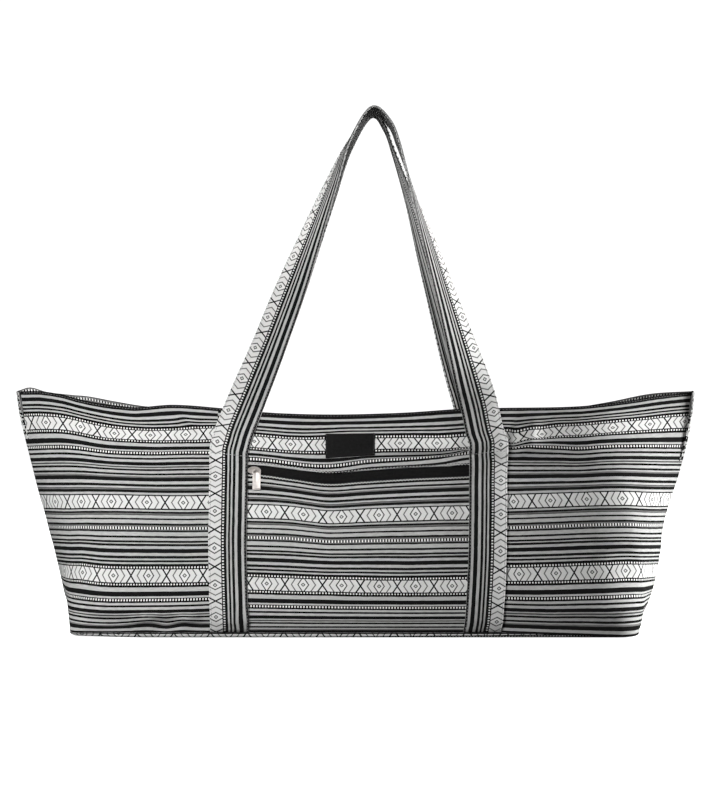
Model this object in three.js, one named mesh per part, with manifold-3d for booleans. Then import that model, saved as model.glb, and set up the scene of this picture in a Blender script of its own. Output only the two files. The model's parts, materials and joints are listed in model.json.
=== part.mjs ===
// Yoga mat tote bag, sewn from striped cloth.
//
// A front and a back panel meet at a seam up the middle of each end and stand on a boxed base, so the bag is
// square at the foot and draws out to a long, lens-shaped mouth. A zipped pocket covers the front between two
// straps, and each strap runs up from the base, over a tall handle and down again as one piece.
//
// Millimetres. +X runs along the bag, -Y is the front, +Z is up. The origin is on the underside of the base.

import * as THREE from "three";
import { mergeVertices } from "three/addons/utils/BufferGeometryUtils.js";
import loadManifold from "manifold-3d";

// Driving dimensions of the bag
const BASE_LENGTH = 600;
const BASE_DEPTH = 154;
const MOUTH_DEPTH = 80;
const MOUTH_END_Z = 260;
const SEAM_Z = 6; // the seam that joins the walls to the base
const WALL_LEAN = 2.2; // how late the front and back lean towards each other
const CORNER_RUN_BASE = 10; // length of cloth that each upright corner bends over, at the foot and at the mouth
const CORNER_RUN_MOUTH = 42;

// Layers of cloth, measured outwards from the outer face of the front panel
const CLOTH = 1.6;
const GAP = 0.4;
const TAPE = { inner: GAP, outer: 1.2 };
const POCKET = { inner: TAPE.outer + GAP, outer: TAPE.outer + GAP + 1.2 };
const PATCH = { inner: POCKET.outer + GAP, outer: POCKET.outer + GAP + 1 };
const STRAP_LIFT = POCKET.outer + 1;
const STRAP_THICKNESS = 2.4;

// Where the front's pieces lie: along the bag in mm, and as a share of the wall's height above its base seam
const STRAP_WIDTH = 40;
const POCKET_EDGE = 8; // the pocket's sides stop this far inside the straps' outer edges
const ZIP_LOW = 0.7;
const ZIP_HIGH = 0.75;
const TAPE_TUCK = 0.025;
const PATCH_LEFT = -30;
const PATCH_RIGHT = 20;
const PATCH_LOW = 0.81;
const PATCH_HIGH = 0.915;
const POCKET_FOOT = 0.008;
const YOKE_TOP = 0.985;

// The straps' sewn legs: place, lean of the free stretch above the bend, and which way is inwards
const BEND_HALF = 9;
const WALL_END_Z = 246;
const LEGS = {
  left: { along: -134.5, bendZ: 192, leanDegrees: 18, inwards: 1 },
  right: { along: 140.5, bendZ: 201, leanDegrees: 14, inwards: -1 },
};

// The free handle, from the left leg over the crown to the right leg. Twist turns the strap's face upwards.
// The back handle leans to the left of the front one by its shift.
const HANDLE_ROUTE = [
  { x: -92, y: -50, z: 305, twist: 26, backShift: -5 },
  { x: -70.5, y: -46, z: 362, twist: 43, backShift: -4 },
  { x: -49.5, y: -41, z: 420, twist: 58, backShift: -2 },
  { x: -27, y: -35, z: 475, twist: 67, backShift: -1 },
  { x: -4, y: -29, z: 529, twist: 84, backShift: -1 },
  { x: 20, y: -23.5, z: 561, twist: 90, backShift: -3 },
  { x: 46.5, y: -27, z: 526, twist: 90, backShift: -6 },
  { x: 62, y: -33, z: 470, twist: 80, backShift: -3 },
  { x: 79.5, y: -39, z: 410, twist: 60, backShift: 0 },
  { x: 99.5, y: -45, z: 345, twist: 42, backShift: 0 },
  { x: 116.5, y: -49, z: 290, twist: 20, backShift: 0 },
];
const BACK_HANDLE_EXTRA = 6; // the back handle's crown stands a little higher

// How far each end reaches from the middle, by height. The ends swell just above the base, then flare.
const ENDS = [
  { z: 6, left: 299.5, right: 300 },
  { z: 16, left: 311, right: 314 },
  { z: 30, left: 318, right: 323 },
  { z: 52, left: 323.5, right: 330 },
  { z: 80, left: 329, right: 336.5 },
  { z: 138, left: 342, right: 347.5 },
  { z: 200, left: 356, right: 359.5 },
  { z: 260, left: 370.5, right: 371.5 },
];

// Height of the top edge along the bag, for the front and the back
const TOP_EDGE = [
  { along: -375, front: 258.5, back: 259.5 },
  { along: -352, front: 258.5, back: 263 },
  { along: -305, front: 252, back: 254 },
  { along: -275, front: 243, back: 248 },
  { along: -235, front: 239.5, back: 242 },
  { along: -195, front: 242.5, back: 240 },
  { along: -140, front: 239.5, back: 237 },
  { along: -30, front: 233, back: 230 },
  { along: 50, front: 233.5, back: 230.5 },
  { along: 150, front: 238.5, back: 236 },
  { along: 235, front: 240, back: 239 },
  { along: 285, front: 246, back: 247 },
  { along: 330, front: 251.5, back: 255 },
  { along: 375, front: 254.5, back: 257 },
];

// Soft folds and bellies of the walls: centre, direction of the ridge from level, half sizes and height outwards
const FOLDS = {
  front: [
    { name: "belly", along: 0, z: 105, turn: 0, halfLength: 260, halfWidth: 90, height: 5 },
    { name: "left_shoulder", along: -285, z: 212, turn: -35, halfLength: 70, halfWidth: 26, height: -5 },
    { name: "left_slump", along: -225, z: 196, turn: -4, halfLength: 80, halfWidth: 22, height: 4 },
    { name: "pocket_dent", along: -28, z: 140, turn: 90, halfLength: 48, halfWidth: 30, height: -5 },
    { name: "pocket_roll", along: 62, z: 196, turn: 4, halfLength: 62, halfWidth: 20, height: 5 },
    { name: "right_roll", along: 215, z: 214, turn: 10, halfLength: 70, halfWidth: 22, height: 6 },
    { name: "right_hollow", along: 190, z: 180, turn: 8, halfLength: 70, halfWidth: 22, height: -4 },
    { name: "left_foot", along: -215, z: 30, turn: 6, halfLength: 80, halfWidth: 18, height: 4 },
    { name: "right_foot", along: 225, z: 34, turn: -6, halfLength: 90, halfWidth: 18, height: 3.5 },
  ],
  back: [
    { name: "belly", along: 0, z: 105, turn: 0, halfLength: 260, halfWidth: 90, height: 6 },
    { name: "left_slump", along: -230, z: 190, turn: 8, halfLength: 90, halfWidth: 24, height: 5 },
    { name: "middle_dent", along: 10, z: 190, turn: 0, halfLength: 80, halfWidth: 24, height: -4 },
    { name: "right_slump", along: 235, z: 196, turn: -8, halfLength: 90, halfWidth: 24, height: 5 },
  ],
};

// The zip's metal parts
const SLIDER = { along: -105.5, length: 13, height: 8, thickness: 2 };
const BAIL = { x: 2.5, out: 4.6, radius: 0.8, span: 7, post: 1.2 };
const PULL = { width: 9, length: 25, thickness: 1.4, barrelRadius: 2.2, eyeRadius: 1.3, neckWidth: 5 };

// Steps of the facets
const ALONG_STEP = 27;
const RISE_STEP = 0.075;
const ROUTE_STEPS = 4; // between two rows of the handle's route

// Sizes that follow from the ones above
const SEAM_HALF = CLOTH + 0.2; // half the thickness of the end seam, where the two panels meet
const PANEL_HALF = (BASE_LENGTH + BASE_DEPTH) / 2 - SEAM_HALF;
const FRONT = "front";
const BACK = "back";

const striped = new THREE.MeshStandardMaterial({ color: 0x7d7d7b, roughness: 0.9, metalness: 0 });
const webbing = new THREE.MeshStandardMaterial({ color: 0x8c8c89, roughness: 0.9, metalness: 0 });
const blackCloth = new THREE.MeshStandardMaterial({ color: 0x1b1b1c, roughness: 0.85, metalness: 0 });
const nickel = new THREE.MeshStandardMaterial({ color: 0xd8d0c6, roughness: 0.25, metalness: 1 });

const { lerp, clamp, degToRad } = THREE.MathUtils;

// Reads one column of a table at a place along it, on a smooth curve through the rows.
function readTable(rows, key, column, at) {
  const last = rows.length - 1;
  const place = clamp(at, rows[0][key], rows[last][key]);
  let i = 0;
  while (i < last - 1 && rows[i + 1][key] < place) i += 1;
  const row = (k) => rows[clamp(k, 0, last)];
  const slope = (k) =>
    (row(k + 1)[column] - row(k - 1)[column]) / (row(k + 1)[key] - row(k - 1)[key]);
  const span = rows[i + 1][key] - rows[i][key];
  const t = (place - rows[i][key]) / span;
  const t2 = t * t;
  const t3 = t2 * t;
  return (
    (2 * t3 - 3 * t2 + 1) * rows[i][column] +
    (t3 - 2 * t2 + t) * span * slope(i) +
    (3 * t2 - 2 * t3) * rows[i + 1][column] +
    (t3 - t2) * span * slope(i + 1)
  );
}

// Splits a span so that it has a line at each feature, and none further apart than the step.
function gridLines(low, high, features, step) {
  const inside = features.filter((f) => f > low && f < high);
  const stops = [...new Set([low, ...inside, high])].sort((a, b) => a - b);
  const lines = [low];
  for (let i = 1; i < stops.length; i++) {
    const pieces = Math.ceil((stops[i] - stops[i - 1]) / step - 1e-6);
    for (let k = 1; k <= pieces; k++) lines.push(lerp(stops[i - 1], stops[i], k / pieces));
  }
  return lines;
}

// The level section of half a wall: a straight run, a soft corner, and a straight run in to the end seam.
// The cloth doesn't stretch, so the corner's place follows from the length of the panel.
function sectionAt(z, half) {
  const end = readTable(ENDS, "z", half, z);
  const lean = Math.pow(clamp(z / MOUTH_END_Z, 0, 1), WALL_LEAN);
  const depth = lerp(BASE_DEPTH / 2, MOUTH_DEPTH / 2, lean);
  const reach = depth - SEAM_HALF;
  const square = PANEL_HALF ** 2 - end ** 2 - reach ** 2;
  const corner = Math.min(square / (2 * (PANEL_HALF - end)), end);
  const turn = Math.atan2(reach, end - corner);
  const run = lerp(CORNER_RUN_BASE, CORNER_RUN_MOUTH, clamp(z / MOUTH_END_Z, 0, 1));
  const radius = run / Math.tan(turn / 2);
  const wedge = Math.hypot(end - corner, reach) - run;
  return { depth, corner, turn, run, radius, wedge };
}

// A point of the smooth wall, as if seen from the front: distance along the cloth from the middle, and height.
function wallPoint(along, z) {
  const { depth, corner, turn, run, radius, wedge } = sectionAt(z, along < 0 ? "left" : "right");
  const straight = corner - run;
  const arc = radius * turn;
  const travel = (Math.abs(along) / PANEL_HALF) * (straight + arc + wedge);
  const bend = clamp((travel - straight) / radius, 0, turn);
  const past = Math.max(travel - straight - arc, 0);
  const x = Math.min(travel, straight) + radius * Math.sin(bend) + past * Math.cos(turn);
  const y = -depth + radius * (1 - Math.cos(bend)) + past * Math.sin(turn);
  return new THREE.Vector3(Math.sign(along) * x, y, z);
}

// Unit vector out of a surface that is given as a function of two places.
function outwardNormal(surface, u, v, du, dv) {
  const across = surface(u + du, v).sub(surface(u - du, v));
  const up = surface(u, v + dv).sub(surface(u, v - dv));
  return across.cross(up).normalize();
}

// How far the folds push the wall out at a place. They fade out towards the end seams and the foot.
function foldHeight(side, along, z) {
  const seamFade = THREE.MathUtils.smoothstep(PANEL_HALF - Math.abs(along), 0, 70);
  const footFade = THREE.MathUtils.smoothstep(z, SEAM_Z, SEAM_Z + 20);
  const sum = FOLDS[side].reduce((total, fold) => {
    const turn = degToRad(fold.turn);
    const [dx, dz] = [along - fold.along, z - fold.z];
    const lengthwise = (dx * Math.cos(turn) + dz * Math.sin(turn)) / fold.halfLength;
    const crosswise = (dz * Math.cos(turn) - dx * Math.sin(turn)) / fold.halfWidth;
    return total + fold.height * Math.exp(-(lengthwise ** 2) - crosswise ** 2);
  }, 0);
  return sum * seamFade * footFade;
}

// The outer face of a wall with its folds, at a distance along the cloth and a height.
function foldedWall(side, along, z) {
  const out = outwardNormal(wallPoint, along, z, 0.5, 0.5);
  return wallPoint(along, z).addScaledVector(out, foldHeight(side, along, z));
}

// A point lifted off the outer face of a wall, or sunk into it where lift is negative.
function liftedWall(side, along, z, lift) {
  const surface = (u, v) => foldedWall(side, u, v);
  return surface(along, z).addScaledVector(outwardNormal(surface, along, z, 1, 1), lift);
}

function heightAt(side, along, rise) {
  return lerp(SEAM_Z, readTable(TOP_EDGE, "along", side, along), rise);
}

// Closes two matching grids of points, an outer and an inner face, into one solid.
// The grids are made as for the front; the back is their mirror image.
function closedSheet(outer, inner, side) {
  const columns = outer.length;
  const rows = outer[0].length;
  const flip = side === BACK;
  const positions = [];
  for (const face of [outer, inner]) {
    for (const point of face.flat()) positions.push(point.x, flip ? -point.y : point.y, point.z);
  }
  const outerAt = (i, j) => i * rows + j;
  const innerAt = (i, j) => columns * rows + i * rows + j;
  const triangles = [];
  const quad = (a, b, c, d) => {
    triangles.push(...(flip ? [a, c, b, a, d, c] : [a, b, c, a, c, d]));
  };
  for (let i = 0; i < columns - 1; i++) {
    for (let j = 0; j < rows - 1; j++) {
      quad(outerAt(i, j), outerAt(i + 1, j), outerAt(i + 1, j + 1), outerAt(i, j + 1));
      quad(innerAt(i, j), innerAt(i, j + 1), innerAt(i + 1, j + 1), innerAt(i + 1, j));
    }
    const top = rows - 1;
    quad(outerAt(i, top), outerAt(i + 1, top), innerAt(i + 1, top), innerAt(i, top));
    quad(outerAt(i + 1, 0), outerAt(i, 0), innerAt(i, 0), innerAt(i + 1, 0));
  }
  for (let j = 0; j < rows - 1; j++) {
    const end = columns - 1;
    quad(outerAt(0, j), outerAt(0, j + 1), innerAt(0, j + 1), innerAt(0, j));
    quad(outerAt(end, j + 1), outerAt(end, j), innerAt(end, j), innerAt(end, j + 1));
  }
  const geometry = new THREE.BufferGeometry();
  geometry.setAttribute("position", new THREE.Float32BufferAttribute(positions, 3));
  geometry.setIndex(triangles);
  geometry.computeVertexNormals();
  return geometry;
}

// Lines that every layer of the front shares, so that the layers' facets stay parallel
const strapEdges = Object.values(LEGS).flatMap((leg) =>
  [-0.5, 0, 0.5].map((share) => leg.along + share * STRAP_WIDTH),
);
const pocketLeft = LEGS.left.along - STRAP_WIDTH / 2 + POCKET_EDGE;
const pocketRight = LEGS.right.along + STRAP_WIDTH / 2 - POCKET_EDGE;
const cornerAlong = BASE_LENGTH / 2;
const CREASE_HALF = 0.1; // half the hairline crease between a wall's lengths
const ALONG_FEATURES = [
  ...strapEdges,
  pocketLeft,
  pocketRight,
  PATCH_LEFT,
  PATCH_RIGHT,
  ...[-1, 1].flatMap((end) =>
    [-8, -CREASE_HALF, CREASE_HALF, 8].map((step) => end * cornerAlong + step),
  ),
];
const RISE_FEATURES = [
  POCKET_FOOT,
  ZIP_LOW - TAPE_TUCK,
  ZIP_LOW,
  ZIP_HIGH,
  ZIP_HIGH + TAPE_TUCK,
  PATCH_LOW,
  PATCH_HIGH,
  YOKE_TOP,
];
const ALONG_LINES = gridLines(-PANEL_HALF, PANEL_HALF, ALONG_FEATURES, ALONG_STEP);
const RISE_LINES = gridLines(0, 1, RISE_FEATURES, RISE_STEP);

// A piece of cloth that lies on a wall, between two places along it and two shares of its height.
function clothOnWall(side, alongLimits, riseLimits, layer) {
  const within = (lines, [low, high]) =>
    lines.filter((line) => line > low - 1e-6 && line < high + 1e-6);
  const face = (lift) =>
    within(ALONG_LINES, alongLimits).map((along) =>
      within(RISE_LINES, riseLimits).map((rise) =>
        liftedWall(side, along, heightAt(side, along, rise), lift),
      ),
    );
  return closedSheet(face(layer.outer), face(layer.inner), side);
}

const pocketWidth = [pocketLeft, pocketRight];

// A wall is made in three lengths: its long face, and its half of each end of the bag past the upright corners.
function wallLength(side, alongLimits) {
  return clothOnWall(side, alongLimits, [0, 1], { inner: -CLOTH, outer: 0 });
}
const faceWidth = [-cornerAlong + CREASE_HALF, cornerAlong - CREASE_HALF];
const leftEndWidth = [-PANEL_HALF, -cornerAlong - CREASE_HALF];
const rightEndWidth = [cornerAlong + CREASE_HALF, PANEL_HALF];

// The base: a flat cloth whose rim turns up to the seam all round.
function baseGeometry() {
  const rimTop = SEAM_Z - 0.3;
  const rimTurns = [0, 30, 60, 90];
  const outline = ALONG_LINES.map((along) => wallPoint(along, SEAM_Z));
  const outlineOut = ALONG_LINES.map((along) => outwardNormal(wallPoint, along, SEAM_Z, 0.5, 0.5));
  // Half a ring, from the left tip past the front to the right tip, pulled in from the outline.
  const halfRing = (inset, z) =>
    outline.map((point, i) => {
      const pulled = point.clone().addScaledVector(outlineOut[i].setZ(0).normalize(), -inset);
      return new THREE.Vector3(pulled.x, Math.min(pulled.y, -0.4), z);
    });
  const positions = [];
  const addRing = (half) => {
    const first = positions.length / 3;
    for (const p of half) positions.push(p.x, p.y, p.z);
    for (const p of [...half].reverse()) positions.push(p.x, -p.y, p.z);
    return first;
  };
  const count = 2 * outline.length;
  const rings = [];
  for (const degrees of rimTurns) {
    const turn = degToRad(degrees);
    const rise = rimTop * (1 - Math.sin(turn));
    rings.push(addRing(halfRing(rimTop * (1 - Math.cos(turn)), rise)));
  }
  const innerRadius = rimTop - CLOTH;
  for (const degrees of [...rimTurns].reverse()) {
    const turn = degToRad(degrees);
    const rise = CLOTH + innerRadius * (1 - Math.sin(turn));
    rings.push(addRing(halfRing(CLOTH + innerRadius * (1 - Math.cos(turn)), rise)));
  }
  const triangles = [];
  const quad = (a, b, c, d) => triangles.push(a, b, c, a, c, d);
  const join = (upper, lower) => {
    for (let i = 0; i < count; i++) {
      const next = (i + 1) % count;
      quad(upper + i, lower + i, lower + next, upper + next);
    }
  };
  for (let k = 0; k < rings.length - 1; k++) {
    if (k !== rimTurns.length - 1) join(rings[k], rings[k + 1]);
  }
  join(rings[rings.length - 1], rings[0]);
  const [underside, floor] = [rings[rimTurns.length - 1], rings[rimTurns.length]];
  for (let i = 0; i < outline.length - 1; i++) {
    const opposite = count - 1 - i;
    quad(underside + i, underside + opposite, underside + opposite - 1, underside + i + 1);
    quad(floor + i, floor + i + 1, floor + opposite - 1, floor + opposite);
  }
  const geometry = new THREE.BufferGeometry();
  geometry.setAttribute("position", new THREE.Float32BufferAttribute(positions, 3));
  geometry.setIndex(triangles);
  geometry.computeVertexNormals();
  return geometry;
}

// One cross line of a strap that lies on the wall: three points from its outer to its inner edge.
function sewnLine(side, leg, z, lift) {
  const blend = THREE.MathUtils.smoothstep(z, leg.bendZ - BEND_HALF, leg.bendZ + BEND_HALF);
  const lean = degToRad(leg.leanDegrees) * blend;
  const along = leg.along + leg.inwards * Math.tan(lean) * Math.max(z - leg.bendZ, 0);
  return [-0.5, 0, 0.5].map((share) => {
    const reach = share * STRAP_WIDTH;
    const place = along + leg.inwards * reach * Math.cos(lean);
    return liftedWall(side, place, z - reach * Math.sin(lean), lift);
  });
}

// Cross lines of the free handle between its two legs, carried along a smooth curve and twisted.
function freeLines(side, leftEnd, rightEnd, lift) {
  const [extra, shift] = side === BACK ? [BACK_HANDLE_EXTRA, 1] : [0, 0];
  const crownZ = Math.max(...HANDLE_ROUTE.map((row) => row.z));
  const raised = (z) => z + (extra * (z - WALL_END_Z)) / (crownZ - WALL_END_Z);
  const route = HANDLE_ROUTE.map(
    (row) => new THREE.Vector3(row.x + shift * row.backShift, row.y, raised(row.z)),
  );
  const curve = new THREE.CatmullRomCurve3([leftEnd, ...route, rightEnd], false, "centripetal");
  const twists = [0, ...HANDLE_ROUTE.map((row) => row.twist), 0];
  const spans = twists.length - 1;
  const lines = [];
  for (let k = 1; k < spans * ROUTE_STEPS; k++) {
    const t = k / (spans * ROUTE_STEPS);
    const span = Math.floor(t * spans);
    const share = t * spans - span;
    const twist = degToRad(lerp(twists[span], twists[span + 1] ?? 0, share));
    const tangent = curve.getTangent(t);
    const facing = new THREE.Vector3(0, -1, 0);
    facing.addScaledVector(tangent, -facing.dot(tangent)).normalize();
    facing.applyAxisAngle(tangent, -twist);
    const across = tangent.clone().cross(facing);
    const centre = curve.getPoint(t).addScaledVector(facing, lift);
    lines.push(
      [-0.5, 0, 0.5].map((part) => centre.clone().addScaledVector(across, part * STRAP_WIDTH)),
    );
  }
  return lines;
}

// A whole strap: up the left leg, over the handle and down the right leg.
function handleGeometry(side) {
  const legLines = (leg, lift) => {
    const bend = [-BEND_HALF, 0, BEND_HALF].map((step) => leg.bendZ + step);
    return gridLines(SEAM_Z + 1, WALL_END_Z, bend, 17).map((z) => sewnLine(side, leg, z, lift));
  };
  const ends = Object.values(LEGS).map((leg) => sewnLine(side, leg, WALL_END_Z, STRAP_LIFT)[1]);
  const face = (lift) => [
    ...legLines(LEGS.left, STRAP_LIFT + lift),
    ...freeLines(side, ...ends, lift),
    ...legLines(LEGS.right, STRAP_LIFT + lift).reverse(),
  ];
  const asGrid = (lines) => [0, 1, 2].map((j) => lines.map((line) => line[j]));
  return closedSheet(asGrid(face(STRAP_THICKNESS)), asGrid(face(0)), side);
}

const wasm = await loadManifold();
wasm.setup();

// A closed three.js geometry as a solid that can be joined and cut, and back again.
function solidOf(geometry) {
  const bare = geometry.clone();
  bare.deleteAttribute("normal");
  bare.deleteAttribute("uv");
  const merged = mergeVertices(bare, 1e-4);
  return new wasm.Manifold(
    new wasm.Mesh({
      numProp: 3,
      vertProperties: merged.getAttribute("position").array,
      triVerts: new Uint32Array(merged.index.array),
    }),
  );
}

function geometryOf(solid) {
  const mesh = solid.getMesh();
  const geometry = new THREE.BufferGeometry();
  geometry.setAttribute("position", new THREE.BufferAttribute(mesh.vertProperties, 3));
  geometry.setIndex(new THREE.BufferAttribute(mesh.triVerts, 1));
  const flat = geometry.toNonIndexed();
  flat.computeVertexNormals();
  return flat;
}

// A flat outline in X and Z with round corners, made into a plate that stands out from y = 0 to y = -thickness.
function plate(width, height, radius, thickness) {
  const [w, h] = [width / 2, height / 2];
  const outline = new THREE.Shape();
  outline.absarc(w - radius, h - radius, radius, 0, Math.PI / 2);
  outline.absarc(-w + radius, h - radius, radius, Math.PI / 2, Math.PI);
  outline.absarc(-w + radius, -h + radius, radius, Math.PI, 1.5 * Math.PI);
  outline.absarc(w - radius, -h + radius, radius, 1.5 * Math.PI, 2 * Math.PI);
  const geometry = new THREE.ExtrudeGeometry(outline, {
    depth: thickness,
    bevelEnabled: false,
    curveSegments: 5,
  });
  return geometry.rotateX(Math.PI / 2);
}

// A rod along X, centred on a point.
function rod(radius, length, x, y, z) {
  const geometry = new THREE.CylinderGeometry(radius, radius, length, 16);
  return geometry.rotateZ(Math.PI / 2).translate(x, y, z);
}

// The slider that runs on the zip, with a bail for the pull.
function sliderGeometry() {
  const body = plate(SLIDER.length, SLIDER.height, 3, SLIDER.thickness);
  const bail = rod(BAIL.radius, BAIL.span + 2 * BAIL.post, BAIL.x, -BAIL.out, 0);
  let solid = solidOf(body).add(solidOf(bail));
  for (const end of [-1, 1]) {
    const height = BAIL.out + BAIL.radius - SLIDER.thickness / 2;
    const post = new THREE.BoxGeometry(BAIL.post, height, 2.4 * BAIL.radius);
    const x = BAIL.x + (end * (BAIL.span + BAIL.post)) / 2;
    post.translate(x, -SLIDER.thickness / 2 - height / 2, 0);
    solid = solid.add(solidOf(post));
  }
  return geometryOf(solid);
}

// The pull: a flat tab that hangs from a barrel round the slider's bail, modelled about the bail's axis.
function pullGeometry() {
  const back = PULL.barrelRadius - PULL.thickness;
  const shoulder = 3.2;
  const tabLength = PULL.length - PULL.barrelRadius - shoulder;
  const tab = plate(PULL.width, tabLength, 2, PULL.thickness);
  tab.translate(0, PULL.barrelRadius, -shoulder - tabLength / 2);
  const neck = new THREE.BoxGeometry(PULL.neckWidth, PULL.thickness, shoulder + 2);
  neck.translate(0, back + PULL.thickness / 2, -(shoulder + 2) / 2);
  const barrel = rod(PULL.barrelRadius, PULL.neckWidth, 0, 0, 0);
  const eye = rod(PULL.eyeRadius, PULL.neckWidth + 2, 0, 0, 0);
  return geometryOf(
    solidOf(barrel).add(solidOf(neck)).add(solidOf(tab)).subtract(solidOf(eye)),
  );
}

const bag = new THREE.Group();

function addPiece(name, geometry, material, parent = bag) {
  const mesh = new THREE.Mesh(geometry, material);
  mesh.name = name;
  parent.add(mesh);
  return mesh;
}

for (const side of [FRONT, BACK]) {
  addPiece(`${side}_panel`, wallLength(side, faceWidth), striped);
  addPiece(`${side}_left_end`, wallLength(side, leftEndWidth), striped);
  addPiece(`${side}_right_end`, wallLength(side, rightEndWidth), striped);
}
addPiece("base_panel", baseGeometry(), striped);
addPiece("pocket_front", clothOnWall(FRONT, pocketWidth, [POCKET_FOOT, ZIP_LOW], POCKET), striped);
addPiece("pocket_yoke", clothOnWall(FRONT, pocketWidth, [ZIP_HIGH, YOKE_TOP], POCKET), striped);
const tapeRise = [ZIP_LOW - TAPE_TUCK, ZIP_HIGH + TAPE_TUCK];
addPiece("zip_tape", clothOnWall(FRONT, pocketWidth, tapeRise, TAPE), blackCloth);
const patchWidth = [PATCH_LEFT, PATCH_RIGHT];
addPiece("label_patch", clothOnWall(FRONT, patchWidth, [PATCH_LOW, PATCH_HIGH], PATCH), blackCloth);
addPiece("front_handle", handleGeometry(FRONT), webbing);
addPiece("back_handle", handleGeometry(BACK), webbing);

// The slider sits on the zip's tape beside the left strap, square to the wall there.
const zipZ = heightAt(FRONT, SLIDER.along, (ZIP_LOW + ZIP_HIGH) / 2);
const zip = new THREE.Group();
zip.position.copy(liftedWall(FRONT, SLIDER.along, zipZ, TAPE.outer + 0.6));
const zipOut = outwardNormal((u, v) => foldedWall(FRONT, u, v), SLIDER.along, zipZ, 1, 1);
zip.rotation.x = Math.atan2(zipOut.z, -zipOut.y) * -1;
bag.add(zip);
addPiece("zip_slider", sliderGeometry(), nickel, zip);
addPiece("zip_pull", pullGeometry(), nickel, zip).position.set(BAIL.x, -BAIL.out, 0);

export default bag;
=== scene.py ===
# %% [markdown]
# # A striped tote for a rolled mat
# The bag is a long shell of woven cloth with a zipped pocket and two straps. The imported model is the
# frame and says where each layer lies. The cloth is lofted again here, much finer, because hems, folds
# and stitches are what make cloth look sewn, and solids leave them out.

# %% Load the frame
import json
import math
from collections import namedtuple

import bpy
import numpy as np
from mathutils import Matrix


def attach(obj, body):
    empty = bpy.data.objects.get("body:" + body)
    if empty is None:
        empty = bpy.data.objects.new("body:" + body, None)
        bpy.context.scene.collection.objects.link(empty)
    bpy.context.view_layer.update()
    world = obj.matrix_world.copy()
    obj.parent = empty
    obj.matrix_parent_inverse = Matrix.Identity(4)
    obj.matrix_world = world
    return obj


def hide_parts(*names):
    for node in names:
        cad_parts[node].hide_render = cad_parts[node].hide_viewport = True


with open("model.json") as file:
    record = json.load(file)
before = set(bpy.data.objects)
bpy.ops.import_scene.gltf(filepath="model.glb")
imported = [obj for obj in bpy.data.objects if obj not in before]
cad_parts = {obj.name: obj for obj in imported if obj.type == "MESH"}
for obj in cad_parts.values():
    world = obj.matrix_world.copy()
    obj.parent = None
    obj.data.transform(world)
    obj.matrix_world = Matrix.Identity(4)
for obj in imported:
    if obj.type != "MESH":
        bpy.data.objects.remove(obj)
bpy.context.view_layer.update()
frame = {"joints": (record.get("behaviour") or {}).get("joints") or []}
MM = 0.001

# %% [markdown]
# ## Camera
# The bag was photographed from straight ahead at about half its height with a mild lens. A level camera
# keeps upright things upright, so nothing is tilted or shifted here: only the distance and the lens set
# the perspective.

# %% Camera
EYE = (0.0, -1.5, 0.2486)
LENS_MM = 61.4


def add_camera():
    bpy.ops.object.select_all(action="DESELECT")
    bpy.ops.object.camera_add(location=EYE, rotation=(math.pi / 2, 0, 0))
    camera = bpy.context.object
    camera.name = "studio_camera"
    camera.data.lens = LENS_MM
    bpy.context.scene.camera = camera
    return camera


print("camera lens", add_camera().data.lens)

# %% [markdown]
# ## The wall
# Front and back are one sewn shape: square at the base, drawn out to a long lens at the mouth. Cloth
# can't stretch, so a level cut through half a wall is always the same length: a straight run, a soft
# corner, and a straight run in to the end seam. Every layer of the bag is placed on this one surface, so
# that layers never cross.

# %% Measures of the wall, in millimetres
BASE_LENGTH = 600.0
BASE_DEPTH = 154.0
MOUTH_DEPTH = 80.0
MOUTH_END_DEPTH = 44.0
MOUTH_END_Z = 260.0
SEAM_Z = 6.0
WALL_LEAN = 2.2
CORNER_RUN_BASE = {"left": 10.0, "right": 24.0}
CORNER_RUN = {"left": 72.0, "right": 44.0}
CORNER_RISE = 45.0
CORNER_SHARE = 0.96
SEAM_HALF = 1.8
PANEL_HALF = (BASE_LENGTH + BASE_DEPTH) / 2 - SEAM_HALF
ENDS = {
    "z": (6, 16, 30, 52, 86, 104, 122, 148, 174, 200, 230, 260),
    "left": (299.5, 309, 317, 322.5, 330.5, 335.5, 340, 347.5, 354, 360.5, 367.5, 371.7),
    "right": (300, 316, 323.5, 330, 336, 337.5, 341.5, 349.5, 357.4, 364, 369.5, 372.5),
}
TOP_EDGE = {
    "along": (-375, -362, -345, -320, -300, -275, -250, -235, -195, -140,
              -105, -30, 50, 110, 150, 235, 285, 330, 375),
    "front": (258.3, 258.3, 258.3, 254.8, 249.8, 245.3, 242.3, 241, 243.8, 239.8,
              236, 233.4, 235.2, 239.2, 240.4, 241.5, 246.7, 253.1, 257.6),
    "back": (258.5, 262.5, 257.8, 254.6, 252.8, 248, 243.5, 241.5, 240, 237,
             235, 230, 230.5, 233.5, 236, 239, 246.5, 255.6, 258.4),
}
print("half a panel is", PANEL_HALF, "mm long")


# %% A smooth curve through the rows of a table
def read_curve(keys, values, at):
    keys = np.asarray(keys, float)
    values = np.asarray(values, float)
    last = len(keys) - 1
    at = np.clip(at, keys[0], keys[last])
    i = np.clip(np.searchsorted(keys, at) - 1, 0, last - 1)
    before = np.maximum(i - 1, 0)
    after = np.minimum(i + 2, last)
    slope_in = (values[i + 1] - values[before]) / (keys[i + 1] - keys[before])
    slope_out = (values[after] - values[i]) / (keys[after] - keys[i])
    span = keys[i + 1] - keys[i]
    t = (at - keys[i]) / span
    ease = t * t * (3 - 2 * t)
    bends = t * (1 - t) ** 2 * slope_in - t * t * (1 - t) * slope_out
    return values[i] * (1 - ease) + values[i + 1] * ease + span * bends


def ease_between(value, low, high):
    t = np.clip((value - low) / (high - low), 0, 1)
    return t * t * (3 - 2 * t)


def unit(vectors):
    return vectors / np.linalg.norm(vectors, axis=-1, keepdims=True)


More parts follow.
